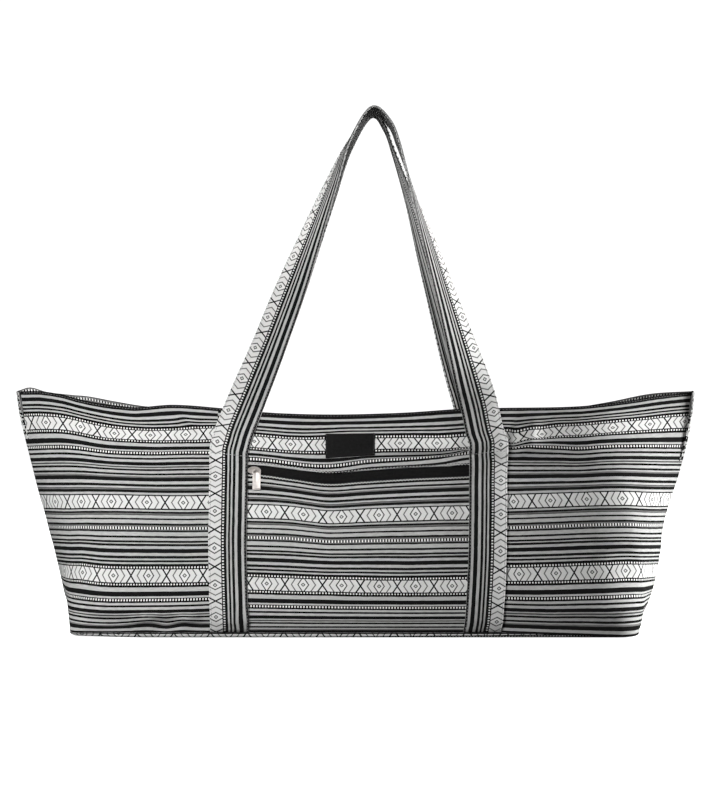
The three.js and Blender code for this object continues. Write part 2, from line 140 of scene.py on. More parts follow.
print("top edge at the middle", read_curve(TOP_EDGE["along"], TOP_EDGE["front"], 0.0))


# %% The smooth wall, seen from the front
def wall_point(along, z):
    along, z = np.broadcast_arrays(np.asarray(along, float), np.asarray(z, float))
    left = read_curve(ENDS["z"], ENDS["left"], z)
    right = read_curve(ENDS["z"], ENDS["right"], z)
    end = np.where(along < 0, left, right)
    height = np.clip(z / MOUTH_END_Z, 0, 1)
    lean = height**WALL_LEAN
    depth = (BASE_DEPTH + (MOUTH_END_DEPTH - BASE_DEPTH) * lean) / 2
    lens = (MOUTH_DEPTH - MOUTH_END_DEPTH) / 2 * lean * (1 - (along / PANEL_HALF) ** 2)
    reach = depth - SEAM_HALF
    corner = np.minimum((PANEL_HALF**2 - end**2 - reach**2) / (2 * (PANEL_HALF - end)), end)
    turn = np.arctan2(reach, end - corner)
    soft = 1 - np.exp(-np.maximum(z - SEAM_Z, 0) / CORNER_RISE)
    slope = np.hypot(end - corner, reach)
    full = np.where(along < 0, CORNER_RUN["left"], CORNER_RUN["right"])
    least = np.where(along < 0, CORNER_RUN_BASE["left"], CORNER_RUN_BASE["right"])
    run = np.minimum(least + (full - least) * soft, CORNER_SHARE * slope)
    radius = run / np.tan(turn / 2)
    wedge = slope - run
    straight = corner - run
    travel = np.abs(along) / PANEL_HALF * (straight + radius * turn + wedge)
    bend = np.clip((travel - straight) / radius, 0, turn)
    past = np.maximum(travel - straight - radius * turn, 0)
    x = np.minimum(travel, straight) + radius * np.sin(bend) + past * np.cos(turn)
    y = -depth - lens + radius * (1 - np.cos(bend)) + past * np.sin(turn)
    return np.stack([np.sign(along) * x, y, z], axis=-1)


def outward(surface, along, z, step):
    across = surface(along + step, z) - surface(along - step, z)
    up = surface(along, z + step) - surface(along, z - step)
    return unit(np.cross(across, up))


print("wall at mid-height", wall_point(0.0, 120.0))

# %% [markdown]
# ## Folds
# Soft cloth sags and rolls. A cloth simulation could do that, but the folds here are few and known, so
# each is a row of a table: a smooth ridge or hollow with its place, direction, size and height. The first
# rows are the large folds of the frame; the rest are the fine creases and puckers that only the finished
# cloth has.

# %% Folds and creases, in millimetres and degrees
Fold = namedtuple("Fold", "along z turn half_length half_width height")
LARGE_FOLDS = {
    "front": [
        Fold(0, 105, 0, 260, 90, 5),
        Fold(-285, 212, -35, 70, 26, -5),
        Fold(-225, 196, -4, 80, 22, 4),
        Fold(-28, 140, 90, 48, 30, -5),
        Fold(62, 196, 4, 62, 20, 5),
        Fold(215, 214, 10, 70, 22, 6),
        Fold(190, 180, 8, 70, 22, -4),
        Fold(-215, 30, 6, 80, 18, 4),
        Fold(225, 34, -6, 90, 18, 3.5),
    ],
    "back": [
        Fold(0, 105, 0, 260, 90, 6),
        Fold(-230, 190, 8, 90, 24, 5),
        Fold(10, 190, 0, 80, 24, -4),
        Fold(235, 196, -8, 90, 24, 5),
    ],
}
FINE_FOLDS = {
    "front": [
        Fold(171, 209, 80, 15, 6.5, -9),
        Fold(187, 209, 72, 16, 7, 4),
        Fold(182, 197, 10, 32, 7, 5),
        Fold(-180, 225, -35, 13, 6, 6),
        Fold(-176, 215, -20, 16, 6, -3),
        Fold(70, 196, 2, 60, 6, 3.5),
        Fold(92, 189.5, 3, 50, 4, -3),
        Fold(-205, 16, 80, 16, 7, 2.2),
        Fold(-176, 18, 80, 14, 6, 2),
        Fold(-120, 16, 80, 13, 6, 1.4),
        Fold(208, 17, 95, 16, 8, 1.6),
        Fold(262, 20, 95, 18, 9, 1.6),
        Fold(-300, 120, 75, 60, 14, 2),
        Fold(300, 110, 105, 70, 14, 2),
        Fold(-255, 232, -20, 32, 9, -2.5),
        Fold(268, 226, 16, 36, 10, 2.5),
        Fold(62, 110, 84, 50, 16, 2),
        Fold(10, 60, 30, 50, 14, 1.5),
        Fold(-264, 18, -8, 26, 5, -4),
        Fold(-222, 21, 10, 16, 5, 4.5),
        Fold(-200, 16, -14, 14, 4, -4.5),
        Fold(-180, 21, 8, 14, 5, 4.5),
        Fold(282, 98, 12, 16, 5, 3.4),
        Fold(284, 89, 8, 14, 4, -2.6),
        Fold(287, 27, 15, 14, 5, 3),
    ],
    "back": [
        Fold(-60, 60, 20, 60, 14, 2),
        Fold(90, 130, -70, 60, 16, 2.5),
        Fold(-180, 215, 14, 40, 10, -3),
        Fold(200, 30, 85, 18, 9, 2),
        Fold(-215, 26, 95, 18, 8, 2),
        Fold(300, 120, 100, 60, 14, 2),
        Fold(-300, 110, 80, 60, 14, 2),
    ],
}
SEAM_FADE = 70.0
FOOT_FADE = 20.0
FOOT_SQUEEZE = 0.35
SQUEEZE_RISE = 14.0
SLOPE_STEP = 0.5
FOLD_SLOPE_STEP = 1.0
print("folds on the front", len(LARGE_FOLDS["front"]) + len(FINE_FOLDS["front"]))


# %% The wall with its folds
def fold_push(side, along, z):
    total = np.zeros(np.broadcast(along, z).shape)
    for fold in LARGE_FOLDS[side] + FINE_FOLDS[side]:
        turn = math.radians(fold.turn)
        dx = along - fold.along
        dz = z - fold.z
        lengthwise = (dx * math.cos(turn) + dz * math.sin(turn)) / fold.half_length
        crosswise = (dz * math.cos(turn) - dx * math.sin(turn)) / fold.half_width
        total = total + fold.height * np.exp(-(lengthwise**2) - crosswise**2)
    seam = ease_between(PANEL_HALF - np.abs(along), 0, SEAM_FADE)
    foot = ease_between(z, SEAM_Z, SEAM_Z + FOOT_FADE)
    return total * seam * foot


def folded_wall(side, along, z):
    push = fold_push(side, along, z)[..., None]
    return wall_point(along, z) + outward(wall_point, along, z, SLOPE_STEP) * push


def wall_out(side, along, z):
    return outward(lambda u, v: folded_wall(side, u, v), along, z, FOLD_SLOPE_STEP)


def on_wall(side, along, z, lift):
    along, z, lift = np.broadcast_arrays(along, z, lift)
    sewn = FOOT_SQUEEZE + (1 - FOOT_SQUEEZE) * ease_between(z, SEAM_Z, SEAM_Z + SQUEEZE_RISE)
    lift = np.where(lift > 0, lift * sewn, lift)
    points = folded_wall(side, along, z) + wall_out(side, along, z) * lift[..., None]
    return points * SIDE_SIGN[side]


def top_height(side, along):
    return read_curve(TOP_EDGE["along"], TOP_EDGE[side], along)


SIDE_SIGN = {"front": np.array([1.0, 1.0, 1.0]), "back": np.array([1.0, -1.0, 1.0])}
print("front at mid-height", on_wall("front", 0.0, 120.0, 0.0))

# %% [markdown]
# ## Finishes
# The cloth is woven with a repeat of stripes: two rows of diamonds and zigzags, with plain bars, dots
# and speckled grey between them. Drawing it as an image would tie it to one size, so nodes work it out
# from the cloth's own UV map, which has the cloth's true size: U runs along the weft, V counts down the
# stripes.

# %% Small node helpers
def new_finish(name, roughness):
    finish = bpy.data.materials.new(name)
    finish.use_nodes = True
    shader = finish.node_tree.nodes["Principled BSDF"]
    shader.inputs["Roughness"].default_value = roughness
    return finish, finish.node_tree, shader


def feed(tree, socket, value):
    if isinstance(value, bpy.types.NodeSocket):
        tree.links.new(value, socket)
    else:
        socket.default_value = value


def calc(tree, operation, *values):
    node = tree.nodes.new("ShaderNodeMath")
    node.operation = operation
    for socket, value in zip(node.inputs, values):
        feed(tree, socket, value)
    return node.outputs[0]


def blend_values(tree, share, first, second):
    node = tree.nodes.new("ShaderNodeMix")
    node.data_type = "FLOAT"
    for name, value in (("Factor", share), ("A", first), ("B", second)):
        feed(tree, node.inputs[name], value)
    return node.outputs["Result"]


def tone_ramp(tree, share, stops, interpolation="LINEAR"):
    node = tree.nodes.new("ShaderNodeValToRGB")
    ramp = node.color_ramp
    ramp.interpolation = interpolation
    ramp.elements.remove(ramp.elements[1])
    for k, (place, colour) in enumerate(stops):
        element = ramp.elements[0] if k == 0 else ramp.elements.new(place)
        element.position = place
        element.color = (*colour, 1.0)
    feed(tree, node.inputs["Fac"], share)
    return node.outputs["Color"]


def noise(tree, vector, scale, detail=2.0):
    node = tree.nodes.new("ShaderNodeTexNoise")
    node.inputs["Scale"].default_value = scale
    node.inputs["Detail"].default_value = detail
    feed(tree, node.inputs["Vector"], vector)
    return node.outputs["Fac"]


def join_xyz(tree, x, y, z=0.0):
    node = tree.nodes.new("ShaderNodeCombineXYZ")
    for socket, value in zip(node.inputs, (x, y, z)):
        feed(tree, socket, value)
    return node.outputs[0]


def add_bump(tree, shader, height, distance, strength):
    node = tree.nodes.new("ShaderNodeBump")
    node.inputs["Distance"].default_value = distance
    node.inputs["Strength"].default_value = strength
    feed(tree, node.inputs["Height"], height)
    tree.links.new(node.outputs["Normal"], shader.inputs["Normal"])


print("node helpers ready")

# %% [markdown]
# ## The stripe chart
# A weaver writes a stripe as a chart: which yarn, and how wide, from one row of diamonds to the next. The
# repeat has two unlike halves, so there are two charts. Each becomes a colour ramp with hard steps: its
# red says how light the yarn is, its green says which motif is woven there.

# %% The stripe chart, in millimetres going down the cloth
UPPER_HALF = 87.0
LOWER_HALF = 75.5
REPEAT = UPPER_HALF + LOWER_HALF
BLACK_SPREAD = 0.16
WHITE = 0.84
Yarn = namedtuple("Yarn", "tone motif")
YARNS = {
    "band": Yarn(WHITE, 1.0),
    "dots": Yarn(WHITE, 0.5),
    "black": Yarn(0.009, 0.0),
    "dark": Yarn(0.07, 0.0),
    "mid": Yarn(0.18, 0.0),
    "grey": Yarn(0.48, 0.0),
}
DOTS_LEVEL = 0.25
BAND_LEVEL = 0.75
UPPER_CHART = (
    ("band", 6.45), ("black", 0.8), ("dots", 2.0), ("black", 1.5), ("grey", 4.5), ("black", 4.3),
    ("grey", 2.2), ("black", 0.7), ("dots", 2.3), ("black", 1.3), ("grey", 2.8), ("black", 1.8),
    ("grey", 2.8), ("black", 3.4), ("grey", 1.3), ("dark", 1.4), ("grey", 1.3), ("black", 1.9),
    ("grey", 2.8), ("black", 1.7), ("grey", 1.3), ("mid", 1.8), ("black", 3.5), ("grey", 3.3),
    ("black", 2.3), ("grey", 1.8), ("dark", 0.9), ("mid", 1.2), ("black", 2.2), ("grey", 2.3),
    ("black", 1.1), ("band", 6.35),
)
LOWER_CHART = (
    ("band", 6.35), ("black", 1.1), ("grey", 2.0), ("black", 1.6), ("mid", 1.1), ("dark", 1.0),
    ("grey", 2.9), ("black", 1.4), ("grey", 3.7), ("black", 1.6), ("mid", 1.5), ("dots", 2.4),
    ("mid", 1.2), ("black", 1.2), ("grey", 4.0), ("black", 1.5), ("grey", 2.9), ("black", 1.6),
    ("grey", 1.5), ("black", 1.8), ("grey", 3.0), ("black", 3.4), ("grey", 3.1), ("black", 2.1),
    ("grey", 2.1), ("black", 1.7), ("grey", 2.0), ("black", 2.0), ("dots", 2.0), ("black", 0.8),
    ("band", 6.45),
)


def chart_stops(chart):
    whole = sum(width for _, width in chart)
    place = 0.0
    before = chart[0][0]
    stops = []
    for yarn, width in chart:
        spread = BLACK_SPREAD * ((before == "black") - (yarn == "black"))
        stops.append(((place + spread) / whole, (*YARNS[yarn], 0.0)))
        place += width
        before = yarn
    return stops


print("stripes in the repeat", len(UPPER_CHART) + len(LOWER_CHART))

# %% [markdown]
# ## Diamonds, zigzags and dots
# A row of diamonds is the same all along, so distance from the nearest diamond's middle, by a ping-pong,
# is enough to draw it: lines at fixed sums of the distances along and across give nested zigzags. Dots
# are a ping-pong too.

# %% Motifs of the weave
MOTIF_PITCH = 38.3
MOTIF_SLOPE = 0.6
ZIGZAG_STOPS = (
    (0.0, WHITE), (0.24, WHITE), (0.264, 0.01), (0.308, 0.01), (0.332, 0.8), (0.595, 0.78), (0.62, 0.13),
    (0.665, 0.13), (0.69, 0.78), (0.94, 0.82), (0.966, 0.01), (1.0, 0.01),
)
DIAMOND_STOPS = ((0.0, 0.75), (0.2, 0.7), (0.28, 0.06), (0.45, 0.06), (0.53, WHITE), (1.0, WHITE))
DIAMOND_SIZE = 5.0
HATCH_PITCH = 1.45
HATCH_DEPTH = 0.09
DOT_PITCH = 3.08
DOT_GAP = 0.26
DOT_GAP_TONE = 0.008


def grey(tone):
    return (tone, tone, tone)


def grey_stops(stops):
    return [(place, grey(tone)) for place, tone in stops]


def channels_of(tree, colour):
    node = tree.nodes.new("ShaderNodeSeparateColor")
    tree.links.new(colour, node.inputs[0])
    return node.outputs


def zigzag_tone(tree, u, across):
    half = MOTIF_PITCH / 2
    beside = calc(tree, "PINGPONG", u, half)
    reach = calc(tree, "ADD", beside, calc(tree, "MULTIPLY", across, MOTIF_SLOPE))
    folded = calc(tree, "PINGPONG", calc(tree, "DIVIDE", reach, half), 1.0)
    lines = channels_of(tree, tone_ramp(tree, folded, grey_stops(ZIGZAG_STOPS)))[0]
    ring = calc(tree, "DIVIDE", calc(tree, "ADD", beside, across), DIAMOND_SIZE)
    diamond = channels_of(tree, tone_ramp(tree, ring, grey_stops(DIAMOND_STOPS)))[0]
    hatch = calc(tree, "SINE", calc(tree, "MULTIPLY", reach, 2 * math.pi / HATCH_PITCH))
    shade = calc(tree, "MULTIPLY_ADD", hatch, HATCH_DEPTH, 1 - HATCH_DEPTH)
    return calc(tree, "MULTIPLY", calc(tree, "MINIMUM", lines, diamond), shade)


def dot_tone(tree, u):
    tooth = calc(tree, "PINGPONG", u, DOT_PITCH / 2)
    is_dot = calc(tree, "GREATER_THAN", tooth, DOT_PITCH * DOT_GAP)
    return blend_values(tree, is_dot, DOT_GAP_TONE, WHITE)


print("motifs repeat every", MOTIF_PITCH, "mm")

# %% The whole weave as one tone
WAVER = 0.5
WAVER_GRAIN = (0.12, 0.6)
SPECKLE_GRAIN = (0.16, 1.3)
SPECKLE_DEPTH = 0.9
SPECKLE_LEAST = 0.55


def cloth_place(tree):
    node = tree.nodes.new("ShaderNodeUVMap")
    node.uv_map = "cloth"
    scale = tree.nodes.new("ShaderNodeVectorMath")
    scale.operation = "SCALE"
    scale.inputs["Scale"].default_value = 1 / MM
    tree.links.new(node.outputs["UV"], scale.inputs[0])
    split = tree.nodes.new("ShaderNodeSeparateXYZ")
    tree.links.new(scale.outputs[0], split.inputs[0])
    return split.outputs[0], split.outputs[1]


def chart_tone(tree, down):
    upper = tone_ramp(tree, calc(tree, "DIVIDE", down, UPPER_HALF), chart_stops(UPPER_CHART), "CONSTANT")
    lower_place = calc(tree, "DIVIDE", calc(tree, "SUBTRACT", down, UPPER_HALF), LOWER_HALF)
    lower = tone_ramp(tree, lower_place, chart_stops(LOWER_CHART), "CONSTANT")
    choose = tree.nodes.new("ShaderNodeMix")
    choose.data_type = "RGBA"
    tree.links.new(calc(tree, "GREATER_THAN", down, UPPER_HALF), choose.inputs["Factor"])
    tree.links.new(upper, choose.inputs["A"])
    tree.links.new(lower, choose.inputs["B"])
    outputs = channels_of(tree, choose.outputs["Result"])
    return outputs[0], outputs[1]


def grain(tree, u, v, scales):
    place = [calc(tree, "MULTIPLY", way, scale) for way, scale in zip((u, v), scales)]
    return noise(tree, join_xyz(tree, *place), 1.0)


def weave_tone(tree, u, v):
    waver = grain(tree, u, v, WAVER_GRAIN)
    v = calc(tree, "ADD", v, calc(tree, "MULTIPLY_ADD", waver, WAVER, -WAVER / 2))
    down = calc(tree, "WRAP", v, REPEAT, 0.0)
    plain, motif = chart_tone(tree, down)
    to_upper = calc(tree, "ABSOLUTE", calc(tree, "WRAP", v, REPEAT / 2, -REPEAT / 2))
    to_lower = calc(tree, "ABSOLUTE", calc(tree, "SUBTRACT", down, UPPER_HALF))
    zigzag = zigzag_tone(tree, u, calc(tree, "MINIMUM", to_upper, to_lower))
    speckle = grain(tree, u, v, SPECKLE_GRAIN)
    speckled = calc(tree, "MULTIPLY", plain,
                    calc(tree, "MULTIPLY_ADD", speckle, SPECKLE_DEPTH, SPECKLE_LEAST))
    tone = blend_values(tree, calc(tree, "GREATER_THAN", motif, DOTS_LEVEL), speckled, dot_tone(tree, u))
    return blend_values(tree, calc(tree, "GREATER_THAN", motif, BAND_LEVEL), tone, zigzag)


print("weave repeat", REPEAT, "mm")

# %% [markdown]
# ## Cloth finishes
# Threads cross about every millimetre. The crossing is too fine to model, so it is a bump and a slight
# painted shade in the hollows of the weave, both from sines of the UV map. The wrong side of the cloth is
# the same weave, paler and less sharp.

# %% Striped cloth, right side and wrong side
THREAD_PITCH = 0.95
THREAD_SHADE = 0.06
THREAD_RELIEF = 0.5
WEAR = 0.16
WEAR_CLOUD = (0.02, 3.0)
CLOTH_ROUGHNESS = 0.92
CLOTH_SHINE = 0.03
CLOTH_BUMP = (0.00025, 0.35)
YARN_STOPS = ((0.0, (0.0, 0.0, 0.0)), (1.0, (1.0, 1.0, 0.985)))


def thread_relief(tree, u, v):
    turn = 2 * math.pi / THREAD_PITCH
    weft = calc(tree, "SINE", calc(tree, "MULTIPLY", u, turn))
    warp = calc(tree, "SINE", calc(tree, "MULTIPLY", v, turn))
    return calc(tree, "MULTIPLY", weft, warp)


def cloth_finish(name, contrast, middle):
    finish, tree, shader = new_finish(name, CLOTH_ROUGHNESS)
    u, v = cloth_place(tree)
    tone = weave_tone(tree, u, v)
    tone = calc(tree, "MULTIPLY_ADD", tone, contrast, middle * (1 - contrast))
    relief = thread_relief(tree, u, v)
    # Painted shade: the tone is a little darker where the weave's relief is low.
    tone = calc(tree, "MULTIPLY", tone, calc(tree, "MULTIPLY_ADD", relief, THREAD_SHADE, 1.0))
    wear = noise(tree, join_xyz(tree, u, v), *WEAR_CLOUD)
    tone = calc(tree, "MULTIPLY", tone, calc(tree, "MULTIPLY_ADD", wear, WEAR, 1 - WEAR / 2))
    tree.links.new(tone_ramp(tree, tone, YARN_STOPS), shader.inputs["Base Color"])
    shader.inputs["Specular IOR Level"].default_value = CLOTH_SHINE
    height = calc(tree, "MULTIPLY_ADD", relief, THREAD_RELIEF, tone)
    add_bump(tree, shader, height, *CLOTH_BUMP)
    return finish


CLOTH_FINISH = cloth_finish("striped_cloth", contrast=1.0, middle=0.3)
STRAP_FINISH = cloth_finish("strap_cloth", contrast=0.92, middle=0.0)
REVERSE_FINISH = cloth_finish("cloth_reverse", contrast=0.45, middle=0.3)
print("cloth finishes", CLOTH_FINISH.name, STRAP_FINISH.name, REVERSE_FINISH.name)

# %% [markdown]
# ## Tape, thread and metal
# The zip's tape and the label are black and finely ribbed, the sewing thread is twisted, and the slider is
# dull nickel with small scratches. Flat colours would look like plastic here, so each has its own relief
# and a little cloud in its tone, which nodes make at any distance.

# %% Black tape, woven label, thread and metal
RIB_RELIEF = 0.12
RIB_CLOUD = (0.35, 3.0)
RIB_SHADES = ((0.2, 0.6), (0.8, 1.5))
RIB_SHINE = 0.08
RIB_BUMP = (0.00015, 0.5)
THREAD_ROUGHNESS = 0.75
THREAD_TWIST = (900.0, 2.0)
THREAD_SHADES = ((0.3, 0.7), (0.7, 1.2))
THREAD_BUMP = (0.0002, 0.4)
NICKEL_CLOUD = (420.0, 4.0)
NICKEL_STOPS = ((0.3, (0.5, 0.465, 0.44)), (0.7, (0.6, 0.565, 0.54)))
NICKEL_ROUGHNESS = (0.36, 0.2)
NICKEL_METAL = 0.42
SCRATCHES = (2600.0, 2.0)
SCRATCH_BUMP = (0.00004, 0.2)


def shades_of(tone, shades):
    return grey_stops([(place, tone * share) for place, share in shades])


def ribbed_black(name, rib_u, rib_v, tone, roughness):
    finish, tree, shader = new_finish(name, roughness)
    u, v = cloth_place(tree)
    ribs = calc(tree, "SINE", calc(tree, "MULTIPLY", u, 2 * math.pi / rib_u))
    rows = calc(tree, "SINE", calc(tree, "MULTIPLY", v, 2 * math.pi / rib_v))
    relief = calc(tree, "MULTIPLY", ribs, rows)
    cloud = noise(tree, join_xyz(tree, u, v), *RIB_CLOUD)
    level = calc(tree, "MULTIPLY_ADD", relief, RIB_RELIEF, cloud)
    tree.links.new(tone_ramp(tree, level, shades_of(tone, RIB_SHADES)), shader.inputs["Base Color"])
    shader.inputs["Specular IOR Level"].default_value = RIB_SHINE
    add_bump(tree, shader, relief, *RIB_BUMP)
    return finish


def thread_finish(name, tone):
    finish, tree, shader = new_finish(name, THREAD_ROUGHNESS)
    place = tree.nodes.new("ShaderNodeTexCoord").outputs["Object"]
    twist = noise(tree, place, *THREAD_TWIST)
    tree.links.new(tone_ramp(tree, twist, shades_of(tone, THREAD_SHADES)), shader.inputs["Base Color"])
    add_bump(tree, shader, twist, *THREAD_BUMP)
    return finish


def nickel_finish(name):
    least, change = NICKEL_ROUGHNESS
    finish, tree, shader = new_finish(name, least)
    place = tree.nodes.new("ShaderNodeTexCoord").outputs["Object"]
    cloud = noise(tree, place, *NICKEL_CLOUD)
    tree.links.new(tone_ramp(tree, cloud, NICKEL_STOPS), shader.inputs["Base Color"])
    tree.links.new(calc(tree, "MULTIPLY_ADD", cloud, change, least), shader.inputs["Roughness"])
    shader.inputs["Metallic"].default_value = NICKEL_METAL
    add_bump(tree, shader, noise(tree, place, *SCRATCHES), *SCRATCH_BUMP)
    return finish


TAPE_FINISH = ribbed_black("zip_tape_black", rib_u=0.9, rib_v=1.3, tone=0.005, roughness=0.7)
LABEL_FINISH = ribbed_black("label_black", rib_u=0.6, rib_v=0.6, tone=0.006, roughness=0.6)
PALE_THREAD = thread_finish("pale_thread", tone=0.62)
HEM_THREAD = thread_finish("hem_thread", tone=0.14)
GREY_THREAD = thread_finish("grey_thread", tone=0.25)
# Dark thread for the label's stitches, also used for the dark rows that are painted shadow beside the
# pocket's edges.
DARK_THREAD_AND_SHADOW = thread_finish("dark_thread_and_shadow", tone=0.015)
NICKEL = nickel_finish("nickel")
print("small finishes", TAPE_FINISH.name, LABEL_FINISH.name, PALE_THREAD.name, NICKEL.name)

# %% [markdown]
# ## Lofting cloth
# A hemmed sheet could be a plane with a Solidify modifier, but then all its edges would be square and
# both faces would share one pattern. Here each upright cut through the cloth is a closed ring, up the
# outer face, over the edge and down the inner face, and the rings are skinned side by side. That gives
# round hems and two true faces.

# %% Skin rings into a closed piece
def skin_rings(name, rings, marks, finishes, finish_rows=None):
    columns, count = rings.shape[:2]
    start, stop = marks
    i, j = np.meshgrid(np.arange(columns - 1), np.arange(count), indexing="ij")
    after = (j + 1) % count
    corners = [(i, j), (i + 1, j), (i + 1, after), (i, after)]
    faces = np.stack([a * count + b for a, b in corners], axis=-1).reshape(-1, 4)
    uv = np.stack([start[i, j], start[i + 1, j], stop[i + 1, j], stop[i, j]], axis=2).reshape(-1, 2)
    half = count // 2
    k = np.arange(half - 1)
    low_cap = np.stack([k, k + 1, count - 2 - k, count - 1 - k], axis=-1)
    high_cap = low_cap[:, ::-1] + (columns - 1) * count
    cap_uv = np.concatenate([start[0][low_cap], start[-1][low_cap[:, ::-1]]]).reshape(-1, 2)
    faces = np.concatenate([faces, low_cap, high_cap])
    uv = np.concatenate([uv, cap_uv])
    points = rings.reshape(-1, 3) * MM
    rows = np.zeros(len(faces), int)
    if finish_rows is not None:
        rows[: j.size] = np.asarray(finish_rows)[j.reshape(-1)]
    return cloth_mesh(name, points, faces, uv * MM, finishes, rows)


def cloth_mesh(name, points, faces, uv, finishes, finish_of_face):
    a, b, c, d = (points[faces[:, k]] for k in range(4))
    volume = (a * np.cross(b, c)).sum() + (a * np.cross(c, d)).sum()
    if volume < 0:
        faces = faces[:, ::-1]
        uv = uv.reshape(-1, 4, 2)[:, ::-1].reshape(-1, 2)
    mesh = bpy.data.meshes.new(name)
    mesh.from_pydata(points.tolist(), [], faces.tolist())
    mesh.uv_layers.new(name="cloth").data.foreach_set("uv", uv.astype(np.float32).reshape(-1))
    for finish in finishes:
        mesh.materials.append(finish)
    mesh.polygons.foreach_set("material_index", finish_of_face.astype(np.int32))
    mesh.polygons.foreach_set("use_smooth", np.ones(len(faces), bool))
    mesh.update()
    piece = bpy.data.objects.new(name, mesh)
    bpy.context.collection.objects.link(piece)
    return piece


print("skinning ready")

# %% Rounded edges
EDGE_STEPS = np.array([0.0, 0.12, 0.4, 0.8, 1.3, 2.4])
EDGE_GAP = 1.4


def round_drop(distance, radius):
    share = np.clip(distance / radius, 0, 1)
    return radius * (1 - np.sqrt(1 - (1 - share) ** 2))


def row_heights(low, high, count):
    low = np.asarray(low, float).reshape(-1, 1)
    high = np.asarray(high, float).reshape(-1, 1)
    edge = EDGE_STEPS[-1] + EDGE_GAP
    middle = low + edge + (high - low - 2 * edge) * np.linspace(0, 1, count)[None, :]
    return np.concatenate([low + EDGE_STEPS, middle, high - EDGE_STEPS[::-1]], axis=1)


print("rows crowd within", EDGE_STEPS[-1], "mm of an edge")

# %% [markdown]
# ## Where the stripes run
# The stripes sag with the cloth. A few lines of the repeat, such as the rows of diamonds and the dots
# beside them, are read off at places along the bag, and every other stripe is spaced between them, the
# top edge and the base. A mark counts millimetres down the chart from the upper row of diamonds.

# %% Heights of some stripes along the wall
WALL_STRIPES = {
    "along": (-375, -345, -320, -300, -275, -250, -215, -180, -150,
              155, 175, 195, 215, 240, 265, 290, 315, 345, 375),
    "upper": (223.4, 224.3, 223.6, 220.8, 215.6, 212.2, 210.5, 211.8, 213.3,
              208.1, 208.5, 209.9, 213.3, 214.4, 216.6, 219.7, 221.8, 224.3, 225.4),
    "edge": (235.9, 236.4, 234.6, 230.9, 226, 222.1, 219.7, 221.2, 222.2,
             219.6, 219.9, 220.9, 223, 223.8, 226, 228.8, 231.4, 234.3, 236.2),
    "dots": (211.4, 212.7, 212.7, 210.5, 206.3, 203.8, 201.8, 202.1, 202.7,
             201, 202.8, 204.9, 206.5, 207.7, 209.9, 211.5, 212.6, 213.4, 213.8),
    "bars": (196.5, 197.9, 198.5, 197.6, 194.8, 193, 191.8, 192.5, 192.7,
             198.1, 198.1, 198.2, 198.2, 197.5, 199.1, 199.6, 199.5, 198.9, 198.3),
    "middle": (137.2, 138.6, 139.6, 140.5, 141.3, 141.5, 140.8, 140.5, 140.9,
               141.4, 141.8, 142.4, 143, 143.9, 144.6, 144.2, 142.8, 141, 139.4),
    "lower": (62.5, 64.8, 65.9, 66.8, 65.5, 65.2, 65.3, 65.5, 66,
              67.1, 67.1, 67.4, 67.8, 68.6, 69.2, 69.4, 67.5, 64.7, 62),
    "foot": (34.5, 33.3, 32, 31.5, 31.1, 31.1, 31.5, 32.1, 32.9,
             33.4, 32.9, 32.5, 32.5, 32.9, 33.2, 33, 31.8, 30.5, 29.5),
}
POCKET_STRIPES = {
    "along": (-160, -110, -90, -70, -50, -30, -10, 10, 30, 60, 90, 120, 160),
    "upper": (205.2, 204, 202.5, 200.9, 200.2, 200.5, 200.7, 200.4, 199.9, 199.5, 199.7, 202, 205),
    "edge": (215, 213.7, 212.2, 210.6, 210.3, 211.1, 212, 211.9, 211.8, 211.8, 212, 214.3, 217.3),
    "dots": (195, 194.4, 192.7, 191, 190.4, 190.6, 191, 191.5, 192.2, 193, 194, 196.3, 199.5),
    "bars": (186.2, 185.6, 184, 181.4, 179.3, 178.9, 180.4, 183, 184.4, 185.8, 188.2, 193, 196),
    "middle": (132, 131.3, 130.8, 129.8, 127.5, 125.4, 125.9, 126.9, 127.7, 128.4, 129.4, 129.8, 130.6),
    "lower": (59, 58, 57.4, 56.8, 56.2, 55.8, 55.5, 55.2, 55, 54.9, 55, 55.4, 56),
}
UPPER_MARK = 0.0
DOTS_MARK = 12.2
CREASE_MARK = 24.7
BARS_MARK = 27.0
MIDDLE_MARK = UPPER_HALF
LOWER_MARK = REPEAT
FOOT_MARK = 200.0
LINE_MARKS = {"foot": FOOT_MARK, "lower": LOWER_MARK, "middle": MIDDLE_MARK, "bars": BARS_MARK,
              "dots": DOTS_MARK, "upper": UPPER_MARK, "edge": -DOTS_MARK}


def stripe_height(table, line, along):
    return read_curve(table["along"], table[line], along)


def stripes_down(keys, marks, z):
    marks = [np.broadcast_to(mark, len(z)) for mark in marks]
    rows = []
    for i, heights in enumerate(z):
        rows.append(read_curve([key[i] for key in keys], [mark[i] for mark in marks], heights))
    return np.stack(rows)


print("upper diamonds at the left end", stripe_height(WALL_STRIPES, "upper", -375.0), "mm high")

# %% [markdown]
# ## Front and back walls
# Each wall is one cloth from end seam to end seam. Its top edge is turned in as a hem, which shows the
# right side inside the mouth, and its ends turn in at the seam. The rings carry all of that: the last
# columns roll inwards. Where the foot is puckered, the stripes rise and fall with the cloth.

# %% Measures of the walls
WALL_COLUMNS = 221
WALL_ROWS = 64
HEM_DEPTH = 24.0
HEM_THICK = 2.6
HEM_ROUND = 0.46
HEM_STEP = 1.0
WALL_THICK = 1.5
SEAM_ROLL = 1.2
SEAM_TURNS = (30, 60, 90)
SEAM_RUN = (0.6, 1.3, 2.0)
SEAM_STEP = 1.0
SEAM_ALLOWANCE = 7.0
FOOT_PINCH = 0.9
PINCH_RISE = 1.6
BASE_MARK = 231.0
HEM_RIM = 3.6
HEM_MARKS = {"front": (-30.6, -32.2), "back": (-32.0, -35.6)}
BACK_SHIFT = {"front": 0.0, "back": -9.8}
BACK_U = 171.0
# Towards the right end the foot sags below its seam and bulges over the base.
DROOP = 4.6
DROOP_RUN = (155.0, 285.0)
DROOP_END = (300.0, 345.0)
DROOP_OUT = 4.5
